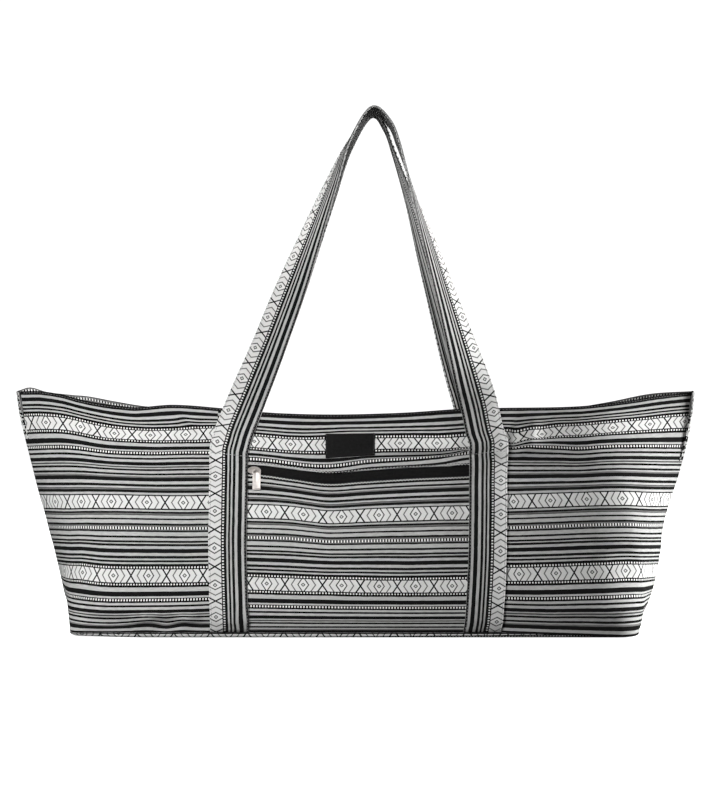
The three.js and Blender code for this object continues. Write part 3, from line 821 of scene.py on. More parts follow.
# At the left the gathered foot lifts and lowers the stripes.
Pucker = namedtuple("Pucker", "along z half_length half_height rise")
PUCKERS = (
    Pucker(-264, 16, 24, 8, -2.2),
    Pucker(-222, 17, 13, 8, 2.0),
    Pucker(-200, 14, 9, 7, -1.8),
    Pucker(-182, 17, 11, 8, 2.2),
)
Diamonds = namedtuple("Diamonds", "mark left right first_right")
DIAMONDS = (
    Diamonds(UPPER_MARK, (-341.3, -299.9, -259.2, -219.3, -181.6), (198.1, 235.3, 274.8, 321.4, 367.1), 10),
    Diamonds(MIDDLE_MARK, (-341.6, -298.5, -263.3, -224.3, -184.9), (168.7, 208.0, 246.9, 285.4, 330.4), 9),
    Diamonds(LOWER_MARK, (-338.0, -299.7, -261.6, -223.5, -184.3), (174.5, 214.0, 252.5, 289.8, 336.7), 9),
)
print("puckers at the foot", len(PUCKERS), "rows of diamonds", len(DIAMONDS))


# %% Stripes and diamonds of the walls
def droop_share(side, along):
    if side == "back":
        return np.zeros(len(along))
    start, full = DROOP_RUN
    return np.clip((along - start) / (full - start), 0, 1) * (1 - ease_between(along, *DROOP_END))


def diamond_counts(row, along):
    first, last = row.left[0], row.right[-1]
    ends = (-PANEL_HALF, PANEL_HALF)
    counts = [1 - len(row.left) + (ends[0] - first) / MOTIF_PITCH, *range(1 - len(row.left), 1)]
    counts += [row.first_right + k for k in range(len(row.right))]
    counts.append(counts[-1] + (ends[1] - last) / MOTIF_PITCH)
    return np.interp(along, (ends[0], *row.left, *row.right, ends[1]), counts)


def wall_u(side, along, v):
    if side == "back":
        return np.broadcast_to(along[:, None] + BACK_U, v.shape)
    marks = [row.mark for row in DIAMONDS]
    counts = np.stack([diamond_counts(row, along) for row in DIAMONDS])
    rows = [np.interp(v[i], marks, counts[:, i]) for i in range(len(along))]
    return np.stack(rows) * MOTIF_PITCH


def pucker_shift(along, z):
    total = np.zeros(z.shape)
    for pucker in PUCKERS:
        sideways = (along[:, None] - pucker.along) / pucker.half_length
        upwards = (z - pucker.z) / pucker.half_height
        total = total + pucker.rise * np.exp(-(sideways**2) - upwards**2)
    return total


def wall_marks(side, along, z, low, top):
    lines = [stripe_height(WALL_STRIPES, line, along) for line in LINE_MARKS]
    keys = [low, *lines, top - HEM_RIM, top]
    marks = [BASE_MARK, *LINE_MARKS.values(), *HEM_MARKS[side]]
    down = stripes_down(keys, marks, z) + BACK_SHIFT[side]
    return down + pucker_shift(along, z) if side == "front" else down


print("lines read off the wall", list(LINE_MARKS))


# %% Rings of the walls
def seam_columns(side, along, z, lift):
    flat = np.zeros(lift.shape)
    out = wall_out(side, along, z) * SIDE_SIGN[side]
    foot = on_wall(side, along, z, flat)
    toward = unit(foot - on_wall(side, along - np.sign(along) * SEAM_STEP, z, flat))
    columns = []
    for degrees in SEAM_TURNS:
        turn = math.radians(degrees)
        roll = SEAM_ROLL * (math.sin(turn) * toward - (1 - math.cos(turn)) * out)
        face = math.cos(turn) * out + math.sin(turn) * toward
        columns.append(foot + roll + face * lift[..., None])
    columns.append(columns[-1] - out * SEAM_ALLOWANCE)
    return columns


def wall_piece(side):
    along = np.linspace(-PANEL_HALF, PANEL_HALF, WALL_COLUMNS)
    top = top_height(side, along)
    droop = droop_share(side, along)
    low = SEAM_Z - DROOP * droop
    z = row_heights(low, top, WALL_ROWS)
    below = top[:, None] - z
    thick = WALL_THICK + (HEM_THICK - WALL_THICK) * ease_between(HEM_DEPTH - below, -HEM_STEP, HEM_STEP)
    pinch = FOOT_PINCH * np.exp(-(z - low[:, None]) / PINCH_RISE)
    push = DROOP_OUT * droop[:, None] * (1 - ease_between(z, SEAM_Z, SEAM_Z + SQUEEZE_RISE)) - pinch
    drop = round_drop(below, HEM_THICK * HEM_ROUND)
    outer_lift = push - drop
    inner_lift = push - thick + drop
    ring_z = np.concatenate([z, z[:, ::-1]], axis=1)
    lift = np.concatenate([outer_lift, inner_lift[:, ::-1]], axis=1)
    rings = on_wall(side, along[:, None], ring_z, lift)
    down = wall_marks(side, along, z, low, top)
    hem = down if side == "front" else 2 * down[:, -1:] - down
    face_v = np.concatenate([down, hem[:, ::-1]], axis=1)
    back_v = np.concatenate([down, down[:, ::-1]], axis=1)
    rows = z.shape[1]
    is_reverse = np.concatenate([np.zeros(rows, bool), (below[0] > HEM_DEPTH)[::-1]])
    return skin_wall(side, along, ring_z, lift, rings, face_v, back_v, is_reverse)


def skin_wall(side, along, ring_z, lift, rings, face_v, back_v, is_reverse):
    face, back = (np.stack([wall_u(side, along, v), v], axis=-1) for v in (face_v, back_v))
    stop = np.where(is_reverse[None, :, None], np.roll(back, -1, axis=1), np.roll(face, -1, axis=1))
    start = np.where(is_reverse[None, :, None], back, face)
    low = seam_columns(side, along[:1, None], ring_z[:1], lift[:1])
    high = seam_columns(side, along[-1:, None], ring_z[-1:], lift[-1:])
    rings = np.concatenate([*low[::-1], rings, *high])
    widen = np.array([*SEAM_RUN, SEAM_ALLOWANCE + SEAM_RUN[-1]])
    extra = len(widen)
    step = np.zeros((len(rings), 1, 2))
    step[:extra, 0, 0] = -widen[::-1]
    step[-extra:, 0, 0] = widen
    last = len(along) - 1
    pad = np.concatenate([np.zeros(extra, int), np.arange(len(along)), np.full(extra, last)])
    finish_rows = is_reverse.astype(int)
    return skin_rings(f"{side}_wall", rings, (start[pad] + step, stop[pad] + step),
                      [CLOTH_FINISH, REVERSE_FINISH], finish_rows)


print("each wall has", WALL_COLUMNS, "rings")

# %% Front and back walls
front_wall = wall_piece("front")
back_wall = wall_piece("back")
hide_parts("front_panel", "front_left_end", "front_right_end")
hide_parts("back_panel", "back_left_end", "back_right_end")
for wall in (front_wall, back_wall):
    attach(wall, "bag")
print("walls", [len(wall.data.polygons) for wall in (front_wall, back_wall)])

# %% [markdown]
# ## Base
# The base is a flat cloth whose rim turns up to the seam all round. A thick plane with bevelled edges
# would do for the flat part, but the rim has to follow the walls. So it is lofted like them, with rings
# that run across the bag: down the front rim, under the floor, up the back rim, and back over the inside.
# The row of faces next to the seam takes a black stripe of the chart. It is partly the cloth's own stripe
# at the seam and partly painted shade along the seam.

# %% Base
BASE_RIM = 5.7
BASE_CLOTH = 1.6
RIM_TURNS = np.radians(np.linspace(0, 90, 8))
UNDER_STEPS = np.linspace(0, 1, 14)[1:-1]
BASE_U = 170.0
BASE_V = 3.0
BASE_SKEW = 0.0133
# Chart mark for the row next to the seam: the cloth's stripe there, and painted shade along the seam.
SEAM_STRIPE_AND_SHADE_MARK = 20.0
BASE_RISE = 2.6
RISE_RUN = (215.0, 330.0)
RIM_GAP = 0.4
RIM_GAP_INSIDE = 0.2


def base_piece():
    along = np.linspace(-PANEL_HALF, PANEL_HALF, WALL_COLUMNS)
    edge = wall_point(along, SEAM_Z)
    out = unit(outward(wall_point, along, SEAM_Z, SLOPE_STEP) * np.array([1, 1, 0]))
    rise = BASE_RISE * ease_between(-along, *RISE_RUN)

    def half_section(thick):
        radius = BASE_RIM - thick
        points = []
        for turn in RIM_TURNS:
            inset = thick + radius * (1 - math.cos(turn))
            p = edge - out * inset
            p[:, 1] = np.minimum(p[:, 1], -RIM_GAP - RIM_GAP_INSIDE * thick)
            height = thick + radius * (1 - math.sin(turn))
            p[:, 2] = height + rise * (1 - height / BASE_RIM)
            points.append(p)
        return np.stack(points, axis=1)

    def section(thick):
        front = half_section(thick)
        back = front[:, ::-1] * SIDE_SIGN["back"]
        a, b = front[:, -1:], back[:, :1]
        under = a + (b - a) * UNDER_STEPS[None, :, None]
        return np.concatenate([front, under, back], axis=1)

    outer = section(0.0)
    rings = np.concatenate([outer, section(BASE_CLOTH)[:, ::-1]], axis=1)
    steps = np.linalg.norm(np.diff(outer, axis=1), axis=2)
    run = np.concatenate([np.zeros((len(along), 1)), np.cumsum(steps, axis=1)], axis=1)
    v = BASE_V + BASE_SKEW * along[:, None] + run
    v = np.concatenate([v, v[:, ::-1]], axis=1)
    u = np.broadcast_to(rings[:, :, 0] + BASE_U, v.shape)
    start = np.stack([u, v], axis=-1)
    stop = np.roll(start, -1, axis=1)
    count = outer.shape[1]
    # Partly painted shade: the row next to the seam takes a darker stripe of the chart.
    for seam_row in (0, count - 2):
        start[:, seam_row, 1] = SEAM_STRIPE_AND_SHADE_MARK
        stop[:, seam_row, 1] = SEAM_STRIPE_AND_SHADE_MARK
    finish_rows = np.concatenate([np.zeros(count, int), np.ones(count, int)])
    return skin_rings("base_cloth", rings, (start, stop), [CLOTH_FINISH, REVERSE_FINISH], finish_rows)


base_cloth = base_piece()
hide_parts("base_panel")
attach(base_cloth, "bag")
print("base", len(base_cloth.data.polygons), "faces")

# %% [markdown]
# ## Pocket and zip
# The pocket is two sheets with folded edges either side of a black zip. The cloth above the zip droops a
# little in the middle, so the edges come from a table. The zip's coil is on the hidden side, so the tape
# shows as two smooth strips that meet in a fine groove. Planes could be shrinkwrapped onto the wall, but
# layers lofted at their own height above it can't cross.

# %% Measures of the pocket
POCKET_LEFT = -146.5
POCKET_RIGHT = 152.5
TAPE_LIFT = (0.4, 1.2)
POCKET_LIFT = (1.6, 2.8)
LABEL_LIFT = (3.2, 4.2)
POCKET_FOOT = 0.008
YOKE_TOP = 0.985
ZIP_EDGES = {
    "along": (-150, -115, -98, -69, -30, 10, 47, 110, 125, 156),
    "low": (170.2, 169.7, 169, 165, 160.6, 162.4, 164.6, 167.5, 168.2, 169),
    "high": (179.4, 179, 178.3, 175.2, 170.8, 173.4, 175.9, 178.5, 179.3, 180),
}
POCKET_COLUMNS = 91
FOLD_THICK = 0.5
POCKET_U = 0.987
SHEET_FOOT_MARK = 222.0
SHEET_ZIP_MARK = 44.5
SHEET_U = {"along": (-150, -94, -56, -17, 15, 155), "shift": (-20.6, -21, -21.4, -24.2, -25.1, -25.1)}
YOKE_TOP_MARK = -32.0
YOKE_RIM_MARK = -30.4
YOKE_RIM = 2.5
YOKE_U = -8.6
CREASE_GAP = 2.3
TAPE_MARKS = (0.0, 24.0)
FOLD_DEPTH = 7.0
FOLD_SLOPE = 1.2
LAYER_ROUND = 0.9
SHEET_ROWS = 44
YOKE_ROWS = 30


def zip_edge(edge, along):
    return read_curve(ZIP_EDGES["along"], ZIP_EDGES[edge], along)


def layer_piece(name, along, low, high, lift, keys, marks, u, finish, rows, ridge=None):
    z = row_heights(low, high, rows)
    inner, outer = lift
    from_edge = np.minimum(z - z[:, :1], z[:, -1:] - z)
    face_lift = outer - round_drop(from_edge, (outer - inner) * LAYER_ROUND)
    if ridge is not None:
        face_lift = face_lift + ridge(z)
    ring_z = np.concatenate([z, z[:, ::-1]], axis=1)
    ring_lift = np.concatenate([face_lift, np.full(z.shape, inner)], axis=1)
    rings = on_wall("front", along[:, None], ring_z, ring_lift)
    down = stripes_down(keys, marks, z)
    v = np.concatenate([down, down[:, ::-1]], axis=1)
    start = np.stack([np.broadcast_to(u[:, None], v.shape), v], axis=-1)
    return skin_rings(name, rings, (start, np.roll(start, -1, axis=1)), [finish])


pocket_along = np.linspace(POCKET_LEFT, POCKET_RIGHT, POCKET_COLUMNS)
pocket_top = top_height("front", pocket_along)
print("pocket is", POCKET_RIGHT - POCKET_LEFT, "mm wide")


# %% Pocket sheet and yoke
def fold_ridge(edge):
    return lambda z: FOLD_THICK * ease_between(FOLD_DEPTH - np.abs(z - edge[:, None]), 0, FOLD_SLOPE)


def share_height(share):
    return SEAM_Z + share * (pocket_top - SEAM_Z)


zip_low = zip_edge("low", pocket_along)
zip_high = zip_edge("high", pocket_along)
sheet_u = pocket_along * POCKET_U + np.interp(pocket_along, SHEET_U["along"], SHEET_U["shift"])
sheet_keys = [share_height(POCKET_FOOT)]
sheet_keys += [stripe_height(POCKET_STRIPES, line, pocket_along) for line in ("lower", "middle")]
sheet_marks = [SHEET_FOOT_MARK, LOWER_MARK, MIDDLE_MARK, SHEET_ZIP_MARK]
pocket_sheet = layer_piece("pocket_sheet", pocket_along, sheet_keys[0], zip_low, POCKET_LIFT,
                           [*sheet_keys, zip_low], sheet_marks, sheet_u, CLOTH_FINISH, SHEET_ROWS,
                           fold_ridge(zip_low))
yoke_lines = ("bars", "dots", "upper", "edge")
bars, dots, upper, edge = (stripe_height(POCKET_STRIPES, line, pocket_along) for line in yoke_lines)
yoke_top = share_height(YOKE_TOP)
yoke_keys = [zip_high, bars, bars + CREASE_GAP, dots, upper, edge, yoke_top - YOKE_RIM, yoke_top]
yoke_marks = [BARS_MARK + bars - zip_high, BARS_MARK, CREASE_MARK, DOTS_MARK, UPPER_MARK, -DOTS_MARK,
              YOKE_RIM_MARK, YOKE_TOP_MARK]
yoke = layer_piece("yoke", pocket_along, zip_high, yoke_keys[-1], POCKET_LIFT, yoke_keys, yoke_marks,
                   pocket_along * POCKET_U + YOKE_U, CLOTH_FINISH, YOKE_ROWS, fold_ridge(zip_high))
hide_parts("pocket_front")
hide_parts("pocket_yoke")
for cloth in (pocket_sheet, yoke):
    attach(cloth, "bag")
print("pocket faces", len(pocket_sheet.data.polygons), len(yoke.data.polygons))

# %% Zip tape and label
TAPE_TUCK = 6.0
LABEL_LEFT = -31.4
LABEL_RIGHT = 21.3
LABEL_LOW = (186.6, 189.7)
LABEL_HIGH = (212.0, 211.8)
TAPE_ROWS = 30
LABEL_ROWS = 12
LABEL_COLUMNS = 26
SWELL = 0.9
SWELL_HALF = 3.2
GROOVE_DEPTH = 0.7
GROOVE_HALF = 0.6


def coil_ridge(z):
    middle = (zip_low + zip_high)[:, None] / 2
    from_middle = np.abs(z - middle)
    swell = SWELL * np.exp(-((from_middle / SWELL_HALF) ** 4))
    groove = GROOVE_DEPTH * np.exp(-((from_middle / GROOVE_HALF) ** 2))
    return swell - groove


tape_ends = [zip_low - TAPE_TUCK, zip_high + TAPE_TUCK]
zip_tape = layer_piece("zip_band", pocket_along, *tape_ends, TAPE_LIFT, tape_ends, TAPE_MARKS, pocket_along,
                       TAPE_FINISH, TAPE_ROWS, coil_ridge)
label_along = np.linspace(LABEL_LEFT, LABEL_RIGHT, LABEL_COLUMNS)
label_ends = [np.interp(label_along, (LABEL_LEFT, LABEL_RIGHT), ends) for ends in (LABEL_LOW, LABEL_HIGH)]
label = layer_piece("label", label_along, *label_ends, LABEL_LIFT, label_ends, TAPE_MARKS, label_along,
                    LABEL_FINISH, LABEL_ROWS)
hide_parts("zip_tape")
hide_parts("label_patch")
for cloth in (zip_tape, label):
    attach(cloth, "bag")
print("tape and label", len(zip_tape.data.polygons), len(label.data.polygons))

# %% [markdown]
# ## Straps
# Each strap is one long band of the same cloth, folded and stitched along both edges. It is sewn up the
# wall, leans in above a bend, and then stands free and twists, so that at the crown it lies on edge. A
# curve object with a flat profile could be swept, but its twist is hard to steer. Here the sewn legs are
# read off the wall, the free part follows a smooth curve, and rounding the joins makes it one band.

# %% Measures of the straps
STRAP_LIFT = 3.8
STRAP_THICK = 2.4
STRAP_WIDTH = 40.0
BEND_HALF = 12.0
LEG_START_Z = SEAM_Z + 1
WALL_END_Z = 246.0
JOIN_REACH = 5.0
JOIN_ROUNDS = 8
SWAY_Z = (6, 34, 66, 98, 128, 160, 192, 212, 238, 250)
Leg = namedtuple("Leg", "along widen bend_z lean inwards sway back_shift")
LEGS = (
    Leg(-135.8, 1.03, 192, 18, 1, (3.4, 0.6, -1.1, -1.5, -0.6, 0.4, 0.8, -0.2, 1.6, 2.2), -6.0),
    Leg(141.8, 1.01, 201, 14, -1, (-5.9, -3.9, -2.3, -1.2, -0.8, -0.9, -0.9, -1.5, 0.4, 0.9), 0.0),
)
Stop = namedtuple("Stop", "x y z twist back_shift")
HANDLE_ROUTE = (
    Stop(-91.4, -50, 305, 21, -8.0),
    Stop(-69.5, -46, 362, 32, -6.4),
    Stop(-47.5, -41, 420, 51, -4.4),
    Stop(-26.5, -35, 475, 67, -2.4),
    Stop(-4.4, -29, 529, 84, 0.2),
    Stop(20, -23.5, 561, 90, 0.5),
    Stop(36.4, -25, 547, 90, -4.4),
    Stop(46, -27.4, 524, 90, -5.2),
    Stop(62, -33, 470, 80, -2),
    Stop(81.2, -39, 410, 64, -2.4),
    Stop(101.1, -45, 345, 48, -2.2),
    Stop(117.9, -49, 290, 27, -1.4),
)
BACK_EXTRA = 6.0
FREE_STEPS = 13
LEG_STEP = 4.0
# Half of the band's section: place across, and height of its face above the middle, with a groove for
# the stitches.
SECTION = (
    (20.0, 0.3), (19.85, 0.7), (19.6, 0.95), (19.2, 1.12), (18.7, 1.15), (18.2, 0.9), (17.6, 1.2),
    (13.0, 1.25), (8.0, 1.3), (3.0, 1.32),
)
section_across = np.array([-a for a, _ in SECTION] + [a for a, _ in SECTION[::-1]])
section_face = np.array([h for _, h in SECTION] + [h for _, h in SECTION[::-1]])
print("strap section has", 2 * len(section_across), "points")


# %% A curve through the handle's route
def curve_through(points, steps):
    points = np.asarray(points, float)
    padded = np.concatenate([[2 * points[0] - points[1]], points, [2 * points[-1] - points[-2]]])
    places, slopes = [], []
    for k in range(len(points) - 1):
        p0, p1, p2, p3 = padded[k : k + 4]
        d0, d1, d2 = (np.linalg.norm(b - a) ** 0.5 for a, b in ((p0, p1), (p1, p2), (p2, p3)))
        m1 = d1 * ((p1 - p0) / d0 - (p2 - p0) / (d0 + d1) + (p2 - p1) / d1)
        m2 = d1 * ((p2 - p1) / d1 - (p3 - p1) / (d1 + d2) + (p3 - p2) / d2)
        w = (np.arange(steps) / steps)[:, None]
        c2 = -3 * p1 + 3 * p2 - 2 * m1 - m2
        c3 = 2 * p1 - 2 * p2 + m1 + m2
        places.append(p1 + m1 * w + c2 * w**2 + c3 * w**3)
        slopes.append(m1 + 2 * c2 * w + 3 * c3 * w**2)
    return np.concatenate(places)[1:], unit(np.concatenate(slopes)[1:])


def turned(vectors, axis, angle):
    cos, sin = np.cos(angle)[:, None], np.sin(angle)[:, None]
    along_axis = (vectors * axis).sum(axis=1, keepdims=True) * axis
    return vectors * cos + np.cross(axis, vectors) * sin + along_axis * (1 - cos)


def leg_rings(leg, z, across, lift, back):
    blend = ease_between(z, leg.bend_z - BEND_HALF, leg.bend_z + BEND_HALF)[:, None]
    lean = np.radians(leg.lean) * blend
    sway = read_curve(SWAY_Z, leg.sway, z)[:, None]
    start = leg.along + back * leg.back_shift + (1 - back) * sway
    middle = start + leg.inwards * np.tan(lean) * np.maximum(z[:, None] - leg.bend_z, 0)
    place = middle + leg.inwards * leg.widen * across[None, :] * np.cos(lean)
    return on_wall("front", place, z[:, None] - across[None, :] * np.sin(lean), lift[None, :])


print("curve helpers ready")


# %% The straps' rings
def strap_rings(side):
    across = np.concatenate([section_across, section_across[::-1]])
    face = np.concatenate([section_face, -section_face[::-1]])
    lift = STRAP_LIFT + STRAP_THICK / 2 + face
    z = np.linspace(LEG_START_Z, WALL_END_Z, int((WALL_END_Z - SEAM_Z) / LEG_STEP))
    back = 1.0 if side == "back" else 0.0
    legs = [leg_rings(leg, z, across, lift, back) for leg in LEGS]
    ends = [leg_rings(leg, z[-1:], np.zeros(1), np.array([STRAP_LIFT]), back)[0, 0] for leg in LEGS]
    crown = max(stop.z for stop in HANDLE_ROUTE)
    route = [(s.x + back * s.back_shift, s.y,
              s.z + back * BACK_EXTRA * (s.z - WALL_END_Z) / (crown - WALL_END_Z)) for s in HANDLE_ROUTE]
    places, tangents = curve_through([ends[0], *route, ends[1]], FREE_STEPS)
    twists = np.array([0.0, *[s.twist for s in HANDLE_ROUTE], 0.0])
    share = np.arange(1, (len(twists) - 1) * FREE_STEPS) / FREE_STEPS
    twist = np.radians(read_curve(np.arange(len(twists)), twists, share))
    facing = np.array([0.0, -1.0, 0.0]) + tangents * tangents[:, 1:2]
    facing = turned(unit(facing), tangents, -twist)
    sideways = np.cross(tangents, facing)
    middle = places + facing * STRAP_THICK / 2
    free = middle[:, None] + sideways[:, None] * across[None, :, None]
    free = free + facing[:, None] * face[None, :, None]
    rings = np.concatenate([legs[0], free, legs[1][::-1]])
    return smooth_joins(rings, (len(z), len(z) + len(free))) * SIDE_SIGN[side], len(z)


def smooth_joins(rings, joins):
    index = np.arange(len(rings))
    weight = sum(np.exp(-(((index - join) / JOIN_REACH) ** 2)) for join in joins)[:, None, None]
    for _ in range(JOIN_ROUNDS):
        soft = rings.copy()
        soft[1:-1] = (rings[:-2] + 2 * rings[1:-1] + rings[2:]) / 4
        rings = rings + (soft - rings) * np.clip(weight, 0, 1)
    return rings


front_rings, leg_count = strap_rings("front")
back_rings, _ = strap_rings("back")
print("strap rings", front_rings.shape)

# %% Straps
STRAP_EDGE_MARK = 6.4
STRAP_STRIPE_SCALE = 0.975
STRAP_UNDER_MARK = MIDDLE_MARK + 4.6
LEFT_DIAMONDS = (18.3, 50.5, 89.0, 127.4, 163.9, 197.0)
RIGHT_DIAMONDS = (12.6, 47.0, 85.7, 123.9, 159.5, 195.6)
STRAP_PITCH = 36.6


def path_length(points):
    steps = np.linalg.norm(np.diff(points, axis=0), axis=1)
    return np.concatenate([[0.0], np.cumsum(steps)])


def strap_piece(side, rings):
    half = len(section_across)
    run = path_length(rings.mean(axis=1))
    free = round((run[-1] - LEFT_DIAMONDS[-1] - RIGHT_DIAMONDS[-1]) / STRAP_PITCH)
    legs = len(LEFT_DIAMONDS)
    counts = [-LEFT_DIAMONDS[0] / STRAP_PITCH, *range(legs), *range(legs - 1 + free, 2 * legs - 1 + free)]
    counts.append(counts[-1] + RIGHT_DIAMONDS[0] / STRAP_PITCH)
    knots = [0.0, *LEFT_DIAMONDS, *[run[-1] - place for place in RIGHT_DIAMONDS[::-1]], run[-1]]
    run = np.interp(run, knots, counts) * MOTIF_PITCH
    from_edge = section_across + STRAP_WIDTH / 2
    v = np.concatenate([STRAP_EDGE_MARK - from_edge * STRAP_STRIPE_SCALE,
                        STRAP_UNDER_MARK + (STRAP_WIDTH - from_edge)[::-1]])
    start = np.stack(np.broadcast_arrays(run[:, None], v[None, :]), axis=-1)
    stop = np.roll(start, -1, axis=1)
    stop[:, half - 1] = start[:, half - 1]
    start[:, -1] = stop[:, -1]
    return skin_rings(f"{side}_strap", rings, (start, stop), [STRAP_FINISH])


front_strap = strap_piece("front", front_rings)
back_strap = strap_piece("back", back_rings)
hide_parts("front_handle")
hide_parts("back_handle")
for strap in (front_strap, back_strap):
    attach(strap, "bag")
print("strap faces", len(front_strap.data.polygons), "length", path_length(front_rings.mean(axis=1))[-1])

# %% [markdown]
# ## Studio
# A soft spot from the front left lights the bag, so that its folds have a light and a dark side. Two narrow
# spots reach the crown and the inside of the right strap, and broad lamps lift the right end and the
# back. The floor glows, so that it is as white as the wall behind it, but casts no light on the bag.

# %% Lamps
Lamp = namedtuple("Lamp", "name place aim size power")
LAMPS = (
    Lamp("end_lamp", (1.7, 0.0, 0.5), (0.3, 0, 0.2), 0.5, 54),
    Lamp("front_lamp", (-0.3, -2.2, 1.6), (0, 0, 0.2), 1.2, 3),
    Lamp("back_lamp", (0.7, 2.2, 1.1), (0, 0, 0.2), 1.2, 60),
)
Spot = namedtuple("Spot", "name place aim cone soft power")
SPOTS = (
    Spot("key_spot", (-0.75, -1.6, 0.95), (-0.22, 0, 0.05), 38, 0.22, 155),
    Spot("crown_spot", (-0.95, -0.9, 0.62), (0.02, 0, 0.47), 13, 0.1, 20),
    Spot("inner_spot", (-1.2, -0.35, 0.36), (0.05, 0.03, 0.47), 10, 0.05, 46),
)


def add_light(kind, row):
    bpy.ops.object.select_all(action="DESELECT")
    bpy.ops.object.light_add(type=kind, location=row.place)
    light = bpy.context.object
    light.name = row.name
    light.data.energy = row.power
    way = np.array(row.aim) - np.array(row.place)
    tilt = math.acos(-way[2] / np.linalg.norm(way))
    light.rotation_euler = (tilt, 0, math.atan2(way[1], way[0]) - math.pi / 2)
    return light.data


for lamp in LAMPS:
    add_light("AREA", lamp).size = lamp.size
for spot in SPOTS:
    light = add_light("SPOT", spot)
    light.spot_size = math.radians(spot.cone)
    light.spot_blend = 1.0
    light.shadow_soft_size = spot.soft
print("lamps", len(LAMPS), "spots", len(SPOTS))

# %% World
GROUND_LIGHT = 0.05
SKY_LIGHT = 0.1
SKY_FROM = 0.4
BACKDROP = 1.1
PURE_WHITE = (1, 1, 1, 1)


def studio_world():
    world = bpy.data.worlds.new("studio_world")
    world.use_nodes = True
    tree = world.node_tree
    towards = tree.nodes.new("ShaderNodeSeparateXYZ")
    tree.links.new(tree.nodes.new("ShaderNodeTexCoord").outputs["Generated"], towards.inputs[0])
    sky_stops = grey_stops(((0.0, GROUND_LIGHT), (SKY_FROM, SKY_LIGHT)))
    soft_light = tree.nodes["Background"]
    tree.links.new(tone_ramp(tree, towards.outputs[2], sky_stops), soft_light.inputs["Color"])
    backdrop = tree.nodes.new("ShaderNodeBackground")
    backdrop.inputs["Strength"].default_value = BACKDROP
    backdrop.inputs["Color"].default_value = PURE_WHITE
    either = tree.nodes.new("ShaderNodeMixShader")
    seen = tree.nodes.new("ShaderNodeLightPath")
    tree.links.new(seen.outputs["Is Camera Ray"], either.inputs[0])
    tree.links.new(soft_light.outputs[0], either.inputs[1])
    tree.links.new(backdrop.outputs[0], either.inputs[2])
    tree.links.new(either.outputs[0], tree.nodes["World Output"].inputs["Surface"])
    return world


bpy.context.scene.world = studio_world()
bpy.context.scene.view_settings.view_transform = "Standard"
print("world", bpy.context.scene.world.name)

# %% Floor
FLOOR_RADIUS = 6.0
FLOOR_SIDES = 96
FLOOR_DROP = 0.0003
FLOOR_STOPS = ((0.0, 0.84), (1.0, 0.88))
FLOOR_CLOUDS = 3.0
FLOOR_ROUGHNESS = 0.9
FLOOR_GLOW = 1.0


def floor_finish():
    finish, tree, shader = new_finish("pale_floor", FLOOR_ROUGHNESS)
    place = tree.nodes.new("ShaderNodeTexCoord").outputs["Object"]
    colour = tone_ramp(tree, noise(tree, place, FLOOR_CLOUDS), grey_stops(FLOOR_STOPS))
    tree.links.new(colour, shader.inputs["Base Color"])
    shader.inputs["Emission Color"].default_value = PURE_WHITE
    shader.inputs["Emission Strength"].default_value = FLOOR_GLOW
    return finish


bpy.ops.object.select_all(action="DESELECT")
bpy.ops.mesh.primitive_circle_add(vertices=FLOOR_SIDES, radius=FLOOR_RADIUS, fill_type="NGON",
                                  location=(0, 0, -FLOOR_DROP))
floor = bpy.context.object
floor.name = "studio_floor"
bpy.ops.object.transform_apply(location=True, rotation=True, scale=True)
floor.data.materials.append(floor_finish())
floor.visible_diffuse = False
print("floor radius", FLOOR_RADIUS, "m")

# %% [markdown]
# ## Stitches
# The hem, the pocket's folded edges, the straps and the label are topstitched. One stitch is modelled, a
# short thread with sunken ends, and set again and again along each row. A dashed line in the finish would
# be flat. On the pocket each pale row has a dark row beside it. The dark row is painted shadow under the
# folded edge, made of dark stitches.

# %% One stitch
STITCH_PITCH = 3.4
STITCH_HALF = (1.3, 0.34, 0.26)
STITCH_SIDES = 6
STITCH_RINGS = 4
THREAD_LIFT = 0.05


def stitch_shape():
    bpy.ops.object.select_all(action="DESELECT")
    bpy.ops.mesh.primitive_uv_sphere_add(segments=STITCH_SIDES, ring_count=STITCH_RINGS, radius=1.0,
                                         rotation=(0, math.pi / 2, 0))
    stitch = bpy.context.object
    bpy.ops.object.transform_apply(location=True, rotation=True, scale=True)
    points = np.array([vertex.co for vertex in stitch.data.vertices]) * np.array(STITCH_HALF)
    faces = [list(face.vertices) for face in stitch.data.polygons]
    bpy.ops.object.delete()
    return points, faces


STITCH_POINTS, STITCH_FACES = stitch_shape()
print("one stitch has", len(STITCH_FACES), "faces")


# %% Rows of stitches
def spread(run, values, places):
    return np.stack([np.interp(places, run, values[:, k]) for k in range(3)], axis=1)


def stitch_row(path, out):
    run = path_length(path)
    count = int(run[-1] / STITCH_PITCH)
    places = (np.arange(count) + 0.5) * run[-1] / count
    ahead = unit(spread(run, np.gradient(path, axis=0), places))
    out = unit(spread(run, out, places))
    across = unit(np.cross(out, ahead))
    axes = np.stack([ahead, across, np.cross(ahead, across)], axis=1)
    return spread(run, path, places)[:, None] + np.einsum("pk,nkc->npc", STITCH_POINTS, axes)


def sew(name, rows, finish):
    points = np.concatenate([stitch_row(path, out) for path, out in rows])
    count = len(STITCH_POINTS)
    faces = []
    for k in range(len(points)):
        faces += [[corner + k * count for corner in face] for face in STITCH_FACES]
    mesh = bpy.data.meshes.new(name)
    mesh.from_pydata((points.reshape(-1, 3) * MM).tolist(), [], faces)
    mesh.polygons.foreach_set("use_smooth", np.ones(len(faces), bool))
    mesh.materials.append(finish)
    piece = bpy.data.objects.new(name, mesh)
    bpy.context.collection.objects.link(piece)
    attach(piece, "bag")
    return piece


def wall_row(side, along, z, lift, face=1.0):
    along, z = np.broadcast_arrays(np.asarray(along, float), np.asarray(z, float))
    return on_wall(side, along, z, lift), wall_out(side, along, z) * SIDE_SIGN[side] * face


print("stitch rows ready")

